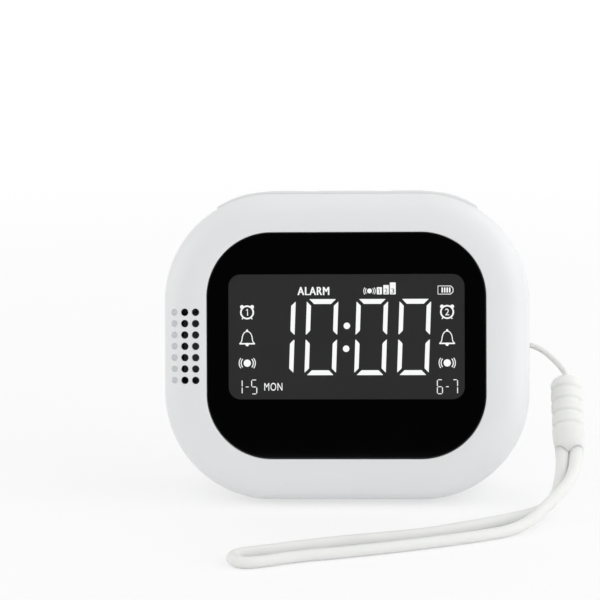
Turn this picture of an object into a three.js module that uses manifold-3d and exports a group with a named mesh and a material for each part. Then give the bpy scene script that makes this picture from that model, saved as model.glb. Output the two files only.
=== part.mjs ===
// Vibrating alarm clock with a dark display, a key strip over the top and a silicone wrist strap.
// Millimetres, +Z up. The case is drawn with its face upright (x right, y to the rear, z up),
// then leaned back so that the flat under its rear shell stands on z = 0.
import * as THREE from 'three';
import { mergeVertices } from 'three/addons/utils/BufferGeometryUtils.js';
import Module from 'manifold-3d';

const wasm = await Module();
wasm.setup();

// Stance and case
const leanDegrees = 12;
const caseWidth = 90;
const caseHeight = 75.4;
const caseDepth = 30;
const cornerRadius = 26.5;
const wall = 2;
const clearance = 0.3;
const frontDepth = 10;
const crownInset = 9.4;
const crownDepth = 5.2;
const rearInset = 7;
const rearRound = 6;
const baseSetback = 1.4;
const lipThickness = 0.8;
const lipReach = 2;
const lipRoot = 3;
const past = 2;
const sameSpot = 1e-4;

// Lens and display
const sideBezel = 10.8;
const endBezel = 9.95;
const lensCorner = 15.9;
const lensThickness = 1.8;
const lensRecess = 0.15;
const lensRise = 0.4;
const ledgeThickness = 1.5;
const panelSideBorder = 4.1;
const panelTopBorder = 9.15;
const panelBottomBorder = 13.35;
const panelCorner = 3;
const panelThickness = 1.8;
const backlightThickness = 2.2;
const frameWall = 1.2;
const frameFlange = 4;

// Main board and its screws
const boardGap = 0.5;
const boardNotchHeight = 5.5;
const boardEarWidth = 10;
const boardCorner = 4;
const boardThickness = 1.6;
const boardScrewInset = 5.5;
const boardScrewAboveFrame = 5;
const boardScrewBelowFrame = 3.4;
const boardBossRadius = 2.6;
const boardScrewRadius = 1.1;
const boardScrewHeadRadius = 2;
const boardScrewHeadHeight = 1.4;
const boardScrewGrip = 3.2;
const boardEdge = 3;

// Case screws
const caseScrewInset = 8.5;
const caseScrewRise = 17;
const caseBossRadius = 3.2;
const caseScrewRadius = 1.25;
const caseScrewHeadRadius = 2.25;
const caseScrewHeadHeight = 2;
const caseScrewSeat = 8;
const caseScrewGrip = 6;
const caseBossReach = 5.7;
const screwHeadChamfer = 0.6;

// Key strip, keys and switches, along the arc length of the case's top edge
const stripHalfLength = 33;
const stripWidth = 10;
const stripRaise = 0.8;
const stripSunk = 1.35;
const shelfThickness = 1.5;
const shelfBorder = 2;
const centreKeyLength = 15;
const sideKeyLength = 9;
const cornerKeyLength = 8;
const sideKeyPlace = 15;
const cornerKeyPlace = 27;
const keyWidth = 5.6;
const keyCorner = 2.4;
const keyRise = 0.15;
const keyTravel = 0.5;
const flangeThickness = 0.8;
const flangeBorder = 0.8;
const stemRadius = 1.6;
const stemLength = 1.95;
const plungerRadius = 1.2;
const plungerShow = 0.8;
const plungerSunk = 1.1;
const switchSize = 5.6;
const switchHeight = 2.8;
const switchCorner = 0.6;
const flexThickness = 0.8;
const flexMargin = 0.5;
const flexShelfThickness = 1.5;

// Speaker and its grille
const grilleRows = 7;
const grilleColumns = 3;
const grilleRowPitch = 2.79;
const grilleColumnPitch = 2.62;
const grilleEdge = 2.6;
const grilleHole = 1.75;
const grilleDimple = 0.8;
const speakerLength = 21;
const speakerDepth = 3.65;
const speakerWall = 0.8;
const speakerVentRadius = 2.1;
const speakerPocketWall = 0.8;
const speakerPocketDepth = 3.75;
const gasketThickness = 1;
const coneThickness = 0.6;
const coneRise = 0.7;
const coneRim = 0.55;
const coneRollWidth = 0.55;
const coneRollRise = 0.42;
const coneDomeWidth = 0.55;
const coneSeat = 1.3;
const magnetLength = 12;
const magnetWidth = 5;
const magnetThickness = 2;
const magnetCorner = 1.2;

// Vibration motor
const motorFromBack = 8.3;
const motorRise = 13.2;
const motorStart = -19;
const motorLength = 18;
const motorRadius = 5;
const motorBossRadius = 2.6;
const motorBossLength = 1;
const bootThickness = 1.2;
const bootMargin = 2;
const shaftRadius = 1;
const shaftSunk = 8;
const weightRadius = 5.6;
const weightLength = 9;
const weightStandoff = 3;
const weightHubRadius = 2.6;
const shaftTip = 0.6;
const saddleThickness = 2;
const saddleBorder = 1.8;
const saddleInset = 3;

// Battery, charging board and socket
const batteryWidth = 44;
const batteryHeight = 24;
const batteryThickness = 8;
const batteryCorner = 2.5;
const batteryEdge = 0.8;
const batterySide = 15;
const batteryZ = 8;
const railWall = 1.2;
const railDepth = 4;
const socketWidth = 8.94;
const socketHeight = 3.26;
const socketDepth = 7.35;
const socketWall = 0.3;
const socketBack = 0.9;
const socketRecess = 0.4;
const socketSide = 23;
const socketZ = -11.8;
const tongueWidth = 6.7;
const tongueThickness = 0.7;
const tongueSetback = 1.2;
const chargeBoardWidth = 14;
const chargeBoardLength = 10;
const chargeBoardThickness = 1.2;
const chargeShelfThickness = 1.5;

// Strap anchor in the right side of the case
const anchorBehindParting = 8;
const pocketHeight = 9;
const pocketWidth = 7.4;
const pocketDepth = 6.4;
const pocketWall = 1.6;
const pocketCorner = 1.85;
const pinRadius = 1.6;
const pinInset = 3;
const pinSeat = 1;

// Strap: a thin anchor loop, a grooved bead and a silicone tube loop that lies on the table
const anchorCordDiameter = 1;
const strapTubeDiameter = 2.8;
const beadRadius = 3.85;
const beadLength = 17.8;
const beadGrooves = 4;
const beadGrooveDepth = 0.5;
const beadGrooveWidth = 1.2;
const beadGrooveFloor = 0.3;
const beadFirstGroove = 4.6;
const beadGroovePitch = 3.38;
const beadDome = 2.4;
const beadTopFlat = 1.7;
const beadEdge = 0.7;

// Inner leads
const leadDiameter = 1.4;
const leadStraight = 2;
const leadReach = 6;
const leadCrest = 4;

// Facets
const cornerSteps = 9;
const crownSteps = 4;
const smallCornerSteps = 3;
const roundSides = 18;
const holeSides = 10;
const screwSides = 10;
const cordSides = 8;
const leadSides = 6;
const strapSteps = 66;
const anchorSteps = 22;
const leadSteps = 10;
const domeSteps = 4;
const beadSides = 16;

// Depths from the face, front to back
const lensFront = lensRecess;
const lensBack = lensFront + lensThickness;
const ledgeFront = lensBack + clearance;
const ledgeBack = ledgeFront + ledgeThickness;
const panelFront = ledgeFront;
const panelBack = panelFront + panelThickness;
const backlightFront = panelBack + clearance;
const backlightBack = backlightFront + backlightThickness;
const frameFront = ledgeBack + clearance;
const framePlate = Math.max(backlightBack, frameFront) + clearance;
const frameBack = framePlate + frameWall;
const boardFront = frameBack + clearance;
const boardBack = boardFront + boardThickness;
const rearFront = frontDepth + clearance;
const backInside = caseDepth - wall;
const stripBack = rearFront + stripWidth;
const keyY = rearFront + stripWidth / 2;

// Sizes that follow from what a piece fits
const lensWidth = caseWidth - 2 * sideBezel;
const lensHeight = caseHeight - 2 * endBezel;
const panelWidth = lensWidth - 2 * panelSideBorder;
const panelHeight = lensHeight - panelTopBorder - panelBottomBorder;
const panelRise = lensRise + (panelBottomBorder - panelTopBorder) / 2;
const frameWidth = panelWidth + 2 * (clearance + frameWall);
const frameHeight = panelHeight + 2 * (clearance + frameWall);
const frameTop = panelRise + frameHeight / 2;
const frameBottom = panelRise - frameHeight / 2;

// Base plane of the leaned case, as a height in the upright frame
const lean = THREE.MathUtils.degToRad(leanDegrees);
const baseStart = rearFront + baseSetback;
const far = 4 * (caseWidth + caseHeight + caseDepth);

function solid(geometry) {
  const bare = geometry.clone();
  bare.deleteAttribute('normal');
  bare.deleteAttribute('uv');
  const merged = mergeVertices(bare);
  const corners = merged.index.array;
  const triangles = [];
  for (let i = 0; i < corners.length; i += 3) {
    const [a, b, c] = [corners[i], corners[i + 1], corners[i + 2]];
    if (a !== b && b !== c && c !== a) triangles.push(a, b, c);
  }
  const vertProperties = new Float32Array(merged.attributes.position.array);
  const triVerts = new Uint32Array(triangles);
  return new wasm.Manifold(new wasm.Mesh({ numProp: 3, vertProperties, triVerts }));
}

function surface(body) {
  const { vertProperties, triVerts } = body.getMesh();
  const geometry = new THREE.BufferGeometry();
  geometry.setAttribute('position', new THREE.BufferAttribute(new Float32Array(vertProperties), 3));
  geometry.setIndex(new THREE.BufferAttribute(new Uint32Array(triVerts), 1));
  geometry.computeVertexNormals();
  return geometry;
}

const join = (first, ...others) => others.reduce((sum, next) => sum.add(next), first);
const cut = (first, ...others) => others.reduce((rest, next) => rest.subtract(next), first);

// Rounded rectangle as points, turning left as seen from the front.
function outline(width, height, radius, steps = smallCornerSteps, x = 0, z = 0) {
  const round = Math.min(radius, width / 2, height / 2);
  const points = [];
  const quarters = [[1, 1], [-1, 1], [-1, -1], [1, -1]];
  quarters.forEach(([sideX, sideZ], quarter) => {
    for (let i = 0; i <= steps; i++) {
      const angle = (quarter + i / steps) * Math.PI / 2;
      const point = new THREE.Vector2(
        x + sideX * (width / 2 - round) + round * Math.cos(angle),
        z + sideZ * (height / 2 - round) + round * Math.sin(angle),
      );
      const last = points[points.length - 1];
      if (!last || last.distanceTo(point) > sameSpot) points.push(point);
    }
  });
  if (points[0].distanceTo(points[points.length - 1]) < sameSpot) points.pop();
  return points;
}

// Closed body through a stack of outlines with equal point counts, front to back along y.
function loft(rings) {
  const count = rings[0].points.length;
  const positions = [];
  const index = [];
  for (const { y, points } of rings) {
    for (const point of points) positions.push(point.x, y, point.y);
  }
  for (let ring = 0; ring + 1 < rings.length; ring++) {
    for (let j = 0; j < count; j++) {
      const here = ring * count + j;
      const next = ring * count + (j + 1) % count;
      index.push(here, here + count, next, next, here + count, next + count);
    }
  }
  const lastRing = (rings.length - 1) * count;
  for (let j = 1; j + 1 < count; j++) {
    index.push(0, j, j + 1, lastRing, lastRing + j + 1, lastRing + j);
  }
  const geometry = new THREE.BufferGeometry();
  geometry.setAttribute('position', new THREE.Float32BufferAttribute(positions, 3));
  geometry.setIndex(index);
  return solid(geometry);
}

function caseRing(inset, y) {
  const width = caseWidth - 2 * inset;
  const height = caseHeight - 2 * inset;
  return { y, points: outline(width, height, cornerRadius - inset, cornerSteps) };
}

function extrudeY(points, front, back) {
  const shape = new THREE.Shape(points);
  const geometry = new THREE.ExtrudeGeometry(shape, { depth: back - front, bevelEnabled: false });
  geometry.rotateX(Math.PI / 2);
  geometry.translate(0, back, 0);
  return solid(geometry);
}

function box(x0, x1, y0, y1, z0, z1) {
  const geometry = new THREE.BoxGeometry(x1 - x0, y1 - y0, z1 - z0);
  geometry.translate((x0 + x1) / 2, (y0 + y1) / 2, (z0 + z1) / 2);
  return solid(geometry);
}

function rodY(x, z, radius, front, back, sides = roundSides) {
  const geometry = new THREE.CylinderGeometry(radius, radius, back - front, sides);
  geometry.translate(x, (front + back) / 2, z);
  return solid(geometry);
}

function rodX(x0, x1, y, z, radius, sides = roundSides) {
  const geometry = new THREE.CylinderGeometry(radius, radius, x1 - x0, sides);
  geometry.rotateZ(Math.PI / 2);
  geometry.translate((x0 + x1) / 2, y, z);
  return solid(geometry);
}

function rodZ(x, y, radius, z0, z1, sides = roundSides) {
  const geometry = new THREE.CylinderGeometry(radius, radius, z1 - z0, sides);
  geometry.rotateX(Math.PI / 2);
  geometry.translate(x, y, (z0 + z1) / 2);
  return solid(geometry);
}

// Everything under the table plane, raised by lift along the case's own height.
function belowBase(lift) {
  const geometry = new THREE.BoxGeometry(far, far, far);
  geometry.translate(0, 0, -far / 2);
  geometry.rotateX(lean);
  geometry.translate(0, baseStart, lift - caseHeight / 2);
  return solid(geometry);
}

// Place and outward direction on the case's top edge, s along the edge from its middle, d below it.
function edgeFrame(s, d) {
  const flat = caseWidth / 2 - cornerRadius;
  const angle = Math.max(0, Math.abs(s) - flat) / cornerRadius * Math.sign(s);
  const centreX = THREE.MathUtils.clamp(s, -flat, flat);
  const radius = cornerRadius - d;
  return {
    x: centreX + radius * Math.sin(angle),
    z: caseHeight / 2 - cornerRadius + radius * Math.cos(angle),
    angle,
  };
}

// Stops along the edge: its two ends and the facets of the corners between them.
function edgeStops(s0, s1) {
  const flat = caseWidth / 2 - cornerRadius;
  const step = Math.PI / 2 / cornerSteps * cornerRadius;
  const facets = [];
  for (let i = 0; i <= cornerSteps; i++) facets.push(flat + i * step, -flat - i * step);
  const between = facets.filter((s) => s > s0 + sameSpot && s < s1 - sameSpot);
  return [s0, ...between.sort((a, b) => a - b), s1];
}

// Curved plate that follows the case's top edge between two depths.
function edgeBand(top, bottom, s0, s1, front, back) {
  const stops = edgeStops(s0, s1);
  const point = (s, d) => {
    const place = edgeFrame(s, d);
    return new THREE.Vector2(place.x, place.z);
  };
  const under = stops.map((s) => point(s, bottom));
  const over = stops.map((s) => point(s, top)).reverse();
  return extrudeY([...under, ...over], front, back);
}

// Body standing on the top edge at s: an outline in the edge's own plane, from depth top to bottom.
function edgePrism(s, points, top, bottom) {
  const place = edgeFrame(s, 0);
  const shape = new THREE.Shape(points);
  const geometry = new THREE.ExtrudeGeometry(shape, { depth: bottom - top, bevelEnabled: false });
  geometry.translate(0, 0, -bottom);
  geometry.rotateY(place.angle);
  geometry.translate(place.x, keyY, place.z);
  return solid(geometry);
}

function edgeRod(s, radius, top, bottom) {
  const place = edgeFrame(s, 0);
  const geometry = new THREE.CylinderGeometry(radius, radius, bottom - top, holeSides);
  geometry.rotateX(Math.PI / 2);
  geometry.translate(0, 0, -(top + bottom) / 2);
  geometry.rotateY(place.angle);
  geometry.translate(place.x, keyY, place.z);
  return solid(geometry);
}

// A turned piece: profile of radius and height, from its bottom on the axis to its top on the axis.
function turned(profile, sides = roundSides) {
  const points = profile.map(([radius, height]) => new THREE.Vector2(radius, height));
  return new THREE.LatheGeometry(points, sides);
}

// Depths under the top edge for the key stack
const stripBottom = stripSunk;
const shelfTop = stripBottom + clearance;
const shelfBottom = shelfTop + shelfThickness;
const flangeTop = stripBottom + clearance;
const flangeBottom = flangeTop + flangeThickness;
const stemEnd = flangeBottom + stemLength;
const plungerTop = stemEnd + clearance;
const switchTop = plungerTop + plungerShow;
const plungerEnd = switchTop + plungerSunk;
const switchBottom = switchTop + switchHeight;
const flexTop = switchBottom + clearance;
const flexBottom = flexTop + flexThickness;
const flexShelfTop = flexBottom + clearance;
const flexShelfBottom = flexShelfTop + flexShelfThickness;
const flexHalf = cornerKeyPlace + switchSize / 2 + flexMargin;
const flexFront = keyY - switchSize / 2 - flexMargin;
const flexBack = keyY + switchSize / 2 + flexMargin;

const keys = [
  { name: 'far_left', s: -cornerKeyPlace, length: cornerKeyLength },
  { name: 'left', s: -sideKeyPlace, length: sideKeyLength },
  { name: 'centre', s: 0, length: centreKeyLength },
  { name: 'right', s: sideKeyPlace, length: sideKeyLength },
  { name: 'far_right', s: cornerKeyPlace, length: cornerKeyLength },
];

function keyOutline(key, grow) {
  return outline(key.length + 2 * grow, keyWidth + 2 * grow, keyCorner + grow);
}

// Places shared by the shells and what they carry
const speakerLeft = -caseWidth / 2 + wall + lipThickness + 2 * clearance;
const speakerRight = -frameWidth / 2 - 2 * clearance - speakerPocketWall;
const speakerWidth = speakerRight - speakerLeft;
const speakerX = (speakerLeft + speakerRight) / 2;
const boardHalfWidth = -speakerRight - boardGap;
const boardScrewX = boardHalfWidth - boardScrewInset;
const boardScrewTop = frameTop + boardScrewAboveFrame;
const boardScrewBottom = frameBottom - boardScrewBelowFrame;
const boardTop = boardScrewTop + boardEdge;
const boardBottom = boardScrewBottom - boardEdge;
const boardScrews = [
  [-boardScrewX, boardScrewTop],
  [boardScrewX, boardScrewTop],
  [-boardScrewX, boardScrewBottom],
  [boardScrewX, boardScrewBottom],
];
const caseScrewX = caseWidth / 2 - caseScrewInset;
const caseScrews = [
  [-caseScrewX, caseScrewRise],
  [caseScrewX, caseScrewRise],
  [-caseScrewX, -caseScrewRise],
  [caseScrewX, -caseScrewRise],
];
const frontBossEnd = frontDepth + caseBossReach;
const rearBossFront = frontBossEnd + clearance;
const screwSeat = caseDepth - caseScrewSeat;
const screwHeadFront = screwSeat + clearance;
const caseScrewTip = rearBossFront - caseScrewGrip;

const gasketFront = ledgeBack + clearance;
const speakerFront = gasketFront + gasketThickness + clearance;
const speakerBack = speakerFront + speakerDepth;

const motorY = backInside - motorFromBack;
const motorZ = -caseHeight / 2 + motorRise;
const motorEnd = motorStart + motorLength;
const bootRadius = motorRadius + clearance + bootThickness;
const weightStart = motorEnd + weightStandoff;
const weightEnd = weightStart + weightLength;

const batteryX = -caseWidth / 2 + batterySide + batteryWidth / 2;
const batteryBack = backInside - clearance;
const batteryFront = batteryBack - batteryThickness;
const socketX = caseWidth / 2 - socketSide;
const socketMouth = caseDepth - socketRecess;
const chargeBoardTop = socketZ - socketHeight / 2 - clearance;
const chargeBoardBottom = chargeBoardTop - chargeBoardThickness;
const chargeShelfTop = chargeBoardBottom - clearance;
const chargeBoardBack = backInside - clearance;
const chargeBoardFront = chargeBoardBack - chargeBoardLength;

const anchorY = frontDepth + anchorBehindParting;
const pocketFloor = caseWidth / 2 - pocketDepth;
const pinX = caseWidth / 2 - pinInset;
const pinHalf = pocketHeight / 2 + pinSeat;

// Outlines of the fitted pieces, grown or shrunk all round
const lensOutline = (grow) => outline(
  lensWidth + 2 * grow, lensHeight + 2 * grow, lensCorner + grow, cornerSteps, 0, lensRise,
);
const panelOutline = (grow) => outline(
  panelWidth + 2 * grow, panelHeight + 2 * grow, panelCorner, smallCornerSteps, 0, panelRise,
);
const speakerOutline = (grow) => outline(
  speakerWidth + 2 * grow, speakerLength + 2 * grow, speakerLength, smallCornerSteps, speakerX, 0,
);
const batteryOutline = (grow) => outline(
  batteryWidth + 2 * grow, batteryHeight + 2 * grow, batteryCorner + grow, smallCornerSteps,
  batteryX, batteryZ,
);
const socketOutline = (grow) => outline(
  socketWidth + 2 * grow, socketHeight + 2 * grow, socketWidth, smallCornerSteps, socketX, socketZ,
);

function grillePlaces() {
  const places = [];
  for (let column = 0; column < grilleColumns; column++) {
    for (let row = 0; row < grilleRows; row++) {
      const x = -caseWidth / 2 + grilleEdge + column * grilleColumnPitch;
      const z = (row - (grilleRows - 1) / 2) * grilleRowPitch;
      places.push({ x, z, blind: column === 0 });
    }
  }
  return places;
}

// Depth of the crowned front at a distance in from the side of the case.
function crownAt(inset) {
  const reach = Math.max(0, 1 - inset / crownInset);
  return crownDepth * (1 - Math.sqrt(Math.max(0, 1 - reach * reach)));
}

// Moulded front shell: crowned bezel, lens pocket, display opening, grille, lip and screw bosses.
function frontShell() {
  const outer = [];
  const inner = [];
  for (let i = 0; i <= crownSteps; i++) {
    const angle = i / crownSteps * Math.PI / 2;
    const insetShare = 1 - Math.sin(angle);
    const depthShare = 1 - Math.cos(angle);
    outer.push(caseRing(crownInset * insetShare, crownDepth * depthShare));
    const innerInset = wall + (crownInset - wall) * insetShare;
    inner.push(caseRing(innerInset, wall + (crownDepth - wall) * depthShare));
  }
  outer.push(caseRing(0, frontDepth));
  inner.push(caseRing(wall, frontDepth + past));
  const cavity = cut(loft(inner), box(-far, far, -far, ledgeBack, -far, far));
  const whole = loft(outer);
  let shell = cut(whole, cavity);

  const lipOuter = wall + clearance;
  const lipInner = lipOuter + lipThickness;
  const lipStart = frontDepth - lipRoot;
  const lipEnd = frontDepth + lipReach;
  const lipFoot = loft([caseRing(wall / 2, lipStart), caseRing(wall / 2, frontDepth)]);
  const lipTongue = loft([caseRing(lipOuter, lipStart), caseRing(lipOuter, lipEnd)]);
  const lipBore = loft([
    caseRing(wall, lipStart - past),
    caseRing(wall, lipStart),
    caseRing(lipInner, lipStart + lipInner - wall),
    caseRing(lipInner, lipEnd + past),
  ]);
  const stripGap = stripHalfLength + shelfBorder + 2 * clearance;
  const lipGap = edgeBand(lipOuter, flexShelfBottom, -stripGap, stripGap, frontDepth, lipEnd + past);
  shell = join(shell, cut(join(lipFoot, lipTongue), lipBore, lipGap));

  const root = ledgeBack - ledgeThickness / 2;
  const pocketEnd = ledgeBack + speakerPocketDepth;
  const speakerPocket = cut(
    extrudeY(speakerOutline(clearance + speakerPocketWall), root, pocketEnd),
    extrudeY(speakerOutline(clearance), ledgeBack, pocketEnd + past),
  ).intersect(whole);
  shell = join(shell, speakerPocket);

  for (const [x, z] of boardScrews) {
    const boss = rodY(x, z, boardBossRadius, root, boardFront - clearance);
    const bore = rodY(x, z, boardScrewRadius + clearance, ledgeBack, boardFront, holeSides);
    shell = cut(join(shell, boss), bore);
  }
  for (const [x, z] of caseScrews) {
    const boss = rodY(x, z, caseBossRadius, root, frontBossEnd);
    const bore = rodY(x, z, caseScrewRadius + clearance, caseScrewTip - clearance, far, holeSides);
    shell = cut(join(shell, boss), bore);
  }

  const lensPocket = extrudeY(lensOutline(clearance), -past, ledgeFront);
  const opening = extrudeY(panelOutline(clearance), -past, ledgeBack + past);
  shell = cut(shell, lensPocket, opening);

  for (const { x, z, blind } of grillePlaces()) {
    const inset = x + caseWidth / 2;
    const depth = blind ? crownAt(inset) + grilleDimple : ledgeBack + past;
    shell = cut(shell, rodY(x, z, grilleHole / 2, -past, depth, holeSides));
  }
  return shell;
}

// Rounded opening of the strap pocket, cut inwards from the right side.
function strapPocket() {
  const points = outline(pocketWidth, pocketHeight, pocketCorner);
  const shape = new THREE.Shape(points);
  const geometry = new THREE.ExtrudeGeometry(shape, { depth: pocketDepth + past, bevelEnabled: false });
  geometry.rotateX(Math.PI / 2);
  geometry.rotateZ(Math.PI / 2);
  geometry.translate(pocketFloor, anchorY, 0);
  return solid(geometry);
}

// Moulded rear shell: rounded back, flat base, strip recess, screw wells, cradles and strap pocket.
function rearShell() {
  const outer = [caseRing(0, rearFront)];
  const inner = [caseRing(wall, rearFront - past)];
  for (let i = 0; i <= crownSteps; i++) {
    const angle = i / crownSteps * Math.PI / 2;
    const insetShare = 1 - Math.cos(angle);
    const depthShare = 1 - Math.sin(angle);
    outer.push(caseRing(rearInset * insetShare, caseDepth - rearRound * depthShare));
    const innerInset = wall + (rearInset - wall) * insetShare;
    inner.push(caseRing(innerInset, backInside - (rearRound - wall) * depthShare));
  }
  const whole = loft(outer);
  const floor = wall / Math.cos(lean);
  const cavity = cut(loft(inner), belowBase(floor));
  let shell = cut(whole, cavity);

  // shelves under the key strip and under the switches
  const recessHalf = stripHalfLength + clearance;
  const shelfHalf = recessHalf + shelfBorder;
  const recessBack = stripBack + clearance;
  const shelf = edgeBand(shelfTop, shelfBottom, -shelfHalf, shelfHalf, rearFront, recessBack + shelfBorder);
  const backJoint = backInside + wall / 2;
  const flexShelf = edgeBand(flexShelfTop, flexShelfBottom, -flexHalf, flexHalf, flexFront, backJoint);
  shell = join(shell, shelf, flexShelf);

  // rails round the battery and a shelf under the charging board
  const railFront = backInside - railDepth;
  const rails = cut(
    extrudeY(batteryOutline(clearance + railWall), railFront, backJoint),
    extrudeY(batteryOutline(clearance), railFront - past, backInside),
  );
  const chargeShelf = box(
    socketX - chargeBoardWidth / 2, socketX + chargeBoardWidth / 2,
    chargeBoardFront, backJoint,
    chargeShelfTop - chargeShelfThickness, chargeShelfTop,
  );
  shell = join(shell, rails, chargeShelf);

  // saddles that clasp the rear half of the motor's boot
  const saddleReach = bootRadius + clearance + saddleBorder;
  const saddles = [motorStart + saddleInset, motorEnd - saddleInset].map((x) => box(
    x - saddleThickness / 2, x + saddleThickness / 2,
    motorY, backJoint,
    motorZ - saddleReach, motorZ + saddleReach,
  ));
  const bootBed = rodX(motorStart - far, motorEnd + far, motorY, motorZ, bootRadius + clearance);
  shell = join(shell, cut(join(...saddles), bootBed).intersect(whole));

  // strap pocket with blind holes for its pin
  const pocketBlock = box(
    pocketFloor - pocketWall, caseWidth / 2 - wall / 2,
    anchorY - pocketWidth / 2 - pocketWall, anchorY + pocketWidth / 2 + pocketWall,
    -pinHalf - pocketWall, pinHalf + pocketWall,
  );
  const pinHole = rodZ(pinX, anchorY, pinRadius + clearance, -pinHalf - clearance, pinHalf + clearance);
  shell = cut(join(shell, pocketBlock), strapPocket(), pinHole);

  for (const [x, z] of caseScrews) {
    const boss = rodY(x, z, caseBossRadius, rearBossFront, backJoint).intersect(whole);
    const hole = rodY(x, z, caseScrewRadius + clearance, rearBossFront - past, far, holeSides);
    const well = rodY(x, z, caseScrewHeadRadius + clearance, screwSeat, far);
    shell = cut(join(shell, boss), hole, well);
  }

  const recess = edgeBand(
    -stripRaise - past, shelfTop, -recessHalf, recessHalf, frontDepth - past, recessBack,
  );
  const windows = keys.map((key) => edgePrism(
    key.s, keyOutline(key, flangeBorder + clearance), -past, switchTop,
  ));
  const socketSlot = extrudeY(socketOutline(clearance), backInside - past, far);
  return cut(shell, recess, ...windows, socketSlot, belowBase(0));
}

function frontLens() {
  return extrudeY(lensOutline(0), lensFront, lensBack);
}

function displayPlate(front, back) {
  return extrudeY(panelOutline(0), front, back);
}

// Tray behind the display, open at the back inside a flange.
function displayFrame() {
  return cut(
    extrudeY(panelOutline(clearance + frameWall), frameFront, frameBack),
    extrudeY(panelOutline(clearance), frameFront - past, framePlate),
    extrudeY(panelOutline(-frameFlange), framePlate - past, frameBack + past),
  );
}

// Main board, notched below so that the motor has the full depth of the case.
function mainBoard() {
  const height = boardTop - boardBottom;
  const middle = (boardTop + boardBottom) / 2;
  const plate = extrudeY(
    outline(2 * boardHalfWidth, height, boardCorner, smallCornerSteps, 0, middle), boardFront, boardBack,
  );
  const notchHalf = boardHalfWidth - boardEarWidth;
  const notch = box(
    -notchHalf, notchHalf,
    boardFront - past, boardBack + past,
    boardBottom - past, boardBottom + boardNotchHeight,
  );
  const holes = boardScrews.map(([x, z]) => rodY(
    x, z, boardScrewRadius + clearance, boardFront - past, boardBack + past, holeSides,
  ));
  return cut(plate, notch, ...holes);
}

// Pan-head screw along y, its head at the back.
function screw(x, z, headFront, tip, radius, headRadius, headHeight) {
  const headBack = headFront + headHeight;
  const profile = [
    [0, tip], [radius, tip], [radius, headFront], [headRadius, headFront],
    [headRadius, headBack - screwHeadChamfer], [headRadius - screwHeadChamfer, headBack], [0, headBack],
  ];
  return solid(turned(profile, screwSides).translate(x, 0, z));
}

function keyStrip() {
  const band = edgeBand(-stripRaise, stripBottom, -stripHalfLength, stripHalfLength, rearFront, stripBack);
  const slots = keys.map((key) => edgePrism(
    key.s, keyOutline(key, clearance), -stripRaise - past, stripBottom + past,
  ));
  return cut(band, ...slots);
}

// Key cap with a retaining flange under the strip and a stem that reaches the switch.
function keyCap(key) {
  const reach = key.length + 2 * flangeBorder;
  const layer = (top, bottom) => edgeBand(
    top, bottom, key.s - reach, key.s + reach, keyY - keyWidth - past, keyY + keyWidth + past,
  );
  const flangeMiddle = flangeTop + flangeThickness / 2;
  const cap = edgePrism(key.s, keyOutline(key, 0), -stripRaise - past, flangeBottom)
    .intersect(layer(-stripRaise - keyRise, flangeMiddle));
  const flange = edgePrism(key.s, keyOutline(key, flangeBorder), -past, flangeBottom + past)
    .intersect(layer(flangeTop, flangeBottom));
  const stem = edgeRod(key.s, stemRadius, flangeMiddle, stemEnd);
  return join(cap, flange, stem);
}

function switchBody(key) {
  const square = outline(switchSize, switchSize, switchCorner);
  const boreEnd = plungerEnd + keyTravel + clearance;
  const bore = edgeRod(key.s, plungerRadius + clearance, switchTop - past, boreEnd);
  return cut(edgePrism(key.s, square, switchTop, switchBottom), bore);
}

function keyFlex() {
  return edgeBand(flexTop, flexBottom, -flexHalf, flexHalf, flexFront, flexBack);
}

function speakerGasket() {
  const back = gasketFront + gasketThickness;
  return cut(
    extrudeY(speakerOutline(0), gasketFront, back),
    extrudeY(speakerOutline(-speakerWall), gasketFront - past, back + past),
  );
}

function speakerFrame() {
  return cut(
    extrudeY(speakerOutline(0), speakerFront, speakerBack),
    extrudeY(speakerOutline(-speakerWall), speakerFront - past, speakerBack - speakerWall),
    rodY(speakerX, 0, speakerVentRadius, speakerFront, speakerBack + past),
  );
}

// Diaphragm: a flat rim, a roll towards the grille and a shallow dome.
function speakerCone() {
  const rim = -speakerWall - clearance;
  const rollFoot = rim - coneRim;
  const rollCrest = rollFoot - coneRollWidth;
  const front = speakerFront + coneSeat;
  return loft([
    { y: front - coneRise, points: speakerOutline(rollCrest - coneDomeWidth) },
    { y: front - coneRollRise, points: speakerOutline(rollCrest) },
    { y: front, points: speakerOutline(rollFoot) },
    { y: front, points: speakerOutline(rim) },
    { y: front + coneThickness, points: speakerOutline(rim) },
  ]);
}

function speakerMagnet() {
  const front = speakerBack + clearance;
  const points = outline(magnetWidth, magnetLength, magnetCorner, smallCornerSteps, speakerX, 0);
  return extrudeY(points, front, front + magnetThickness);
}

function motorCan() {
  const can = rodX(motorStart, motorEnd, motorY, motorZ, motorRadius);
  const boss = rodX(motorEnd - past, motorEnd + motorBossLength, motorY, motorZ, motorBossRadius);
  const boreStart = motorEnd - shaftSunk - clearance;
  const boreEnd = motorEnd + motorBossLength + past;
  const bore = rodX(boreStart, boreEnd, motorY, motorZ, shaftRadius + clearance, holeSides);
  return cut(join(can, boss), bore);
}

function motorShaft() {
  return rodX(motorEnd - shaftSunk, weightEnd + shaftTip, motorY, motorZ, shaftRadius, holeSides);
}

function motorBoot() {
  const start = motorStart + bootMargin;
  const end = motorEnd - bootMargin;
  return cut(
    rodX(start, end, motorY, motorZ, bootRadius),
    rodX(start - past, end + past, motorY, motorZ, motorRadius + clearance),
  );
}

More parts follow.
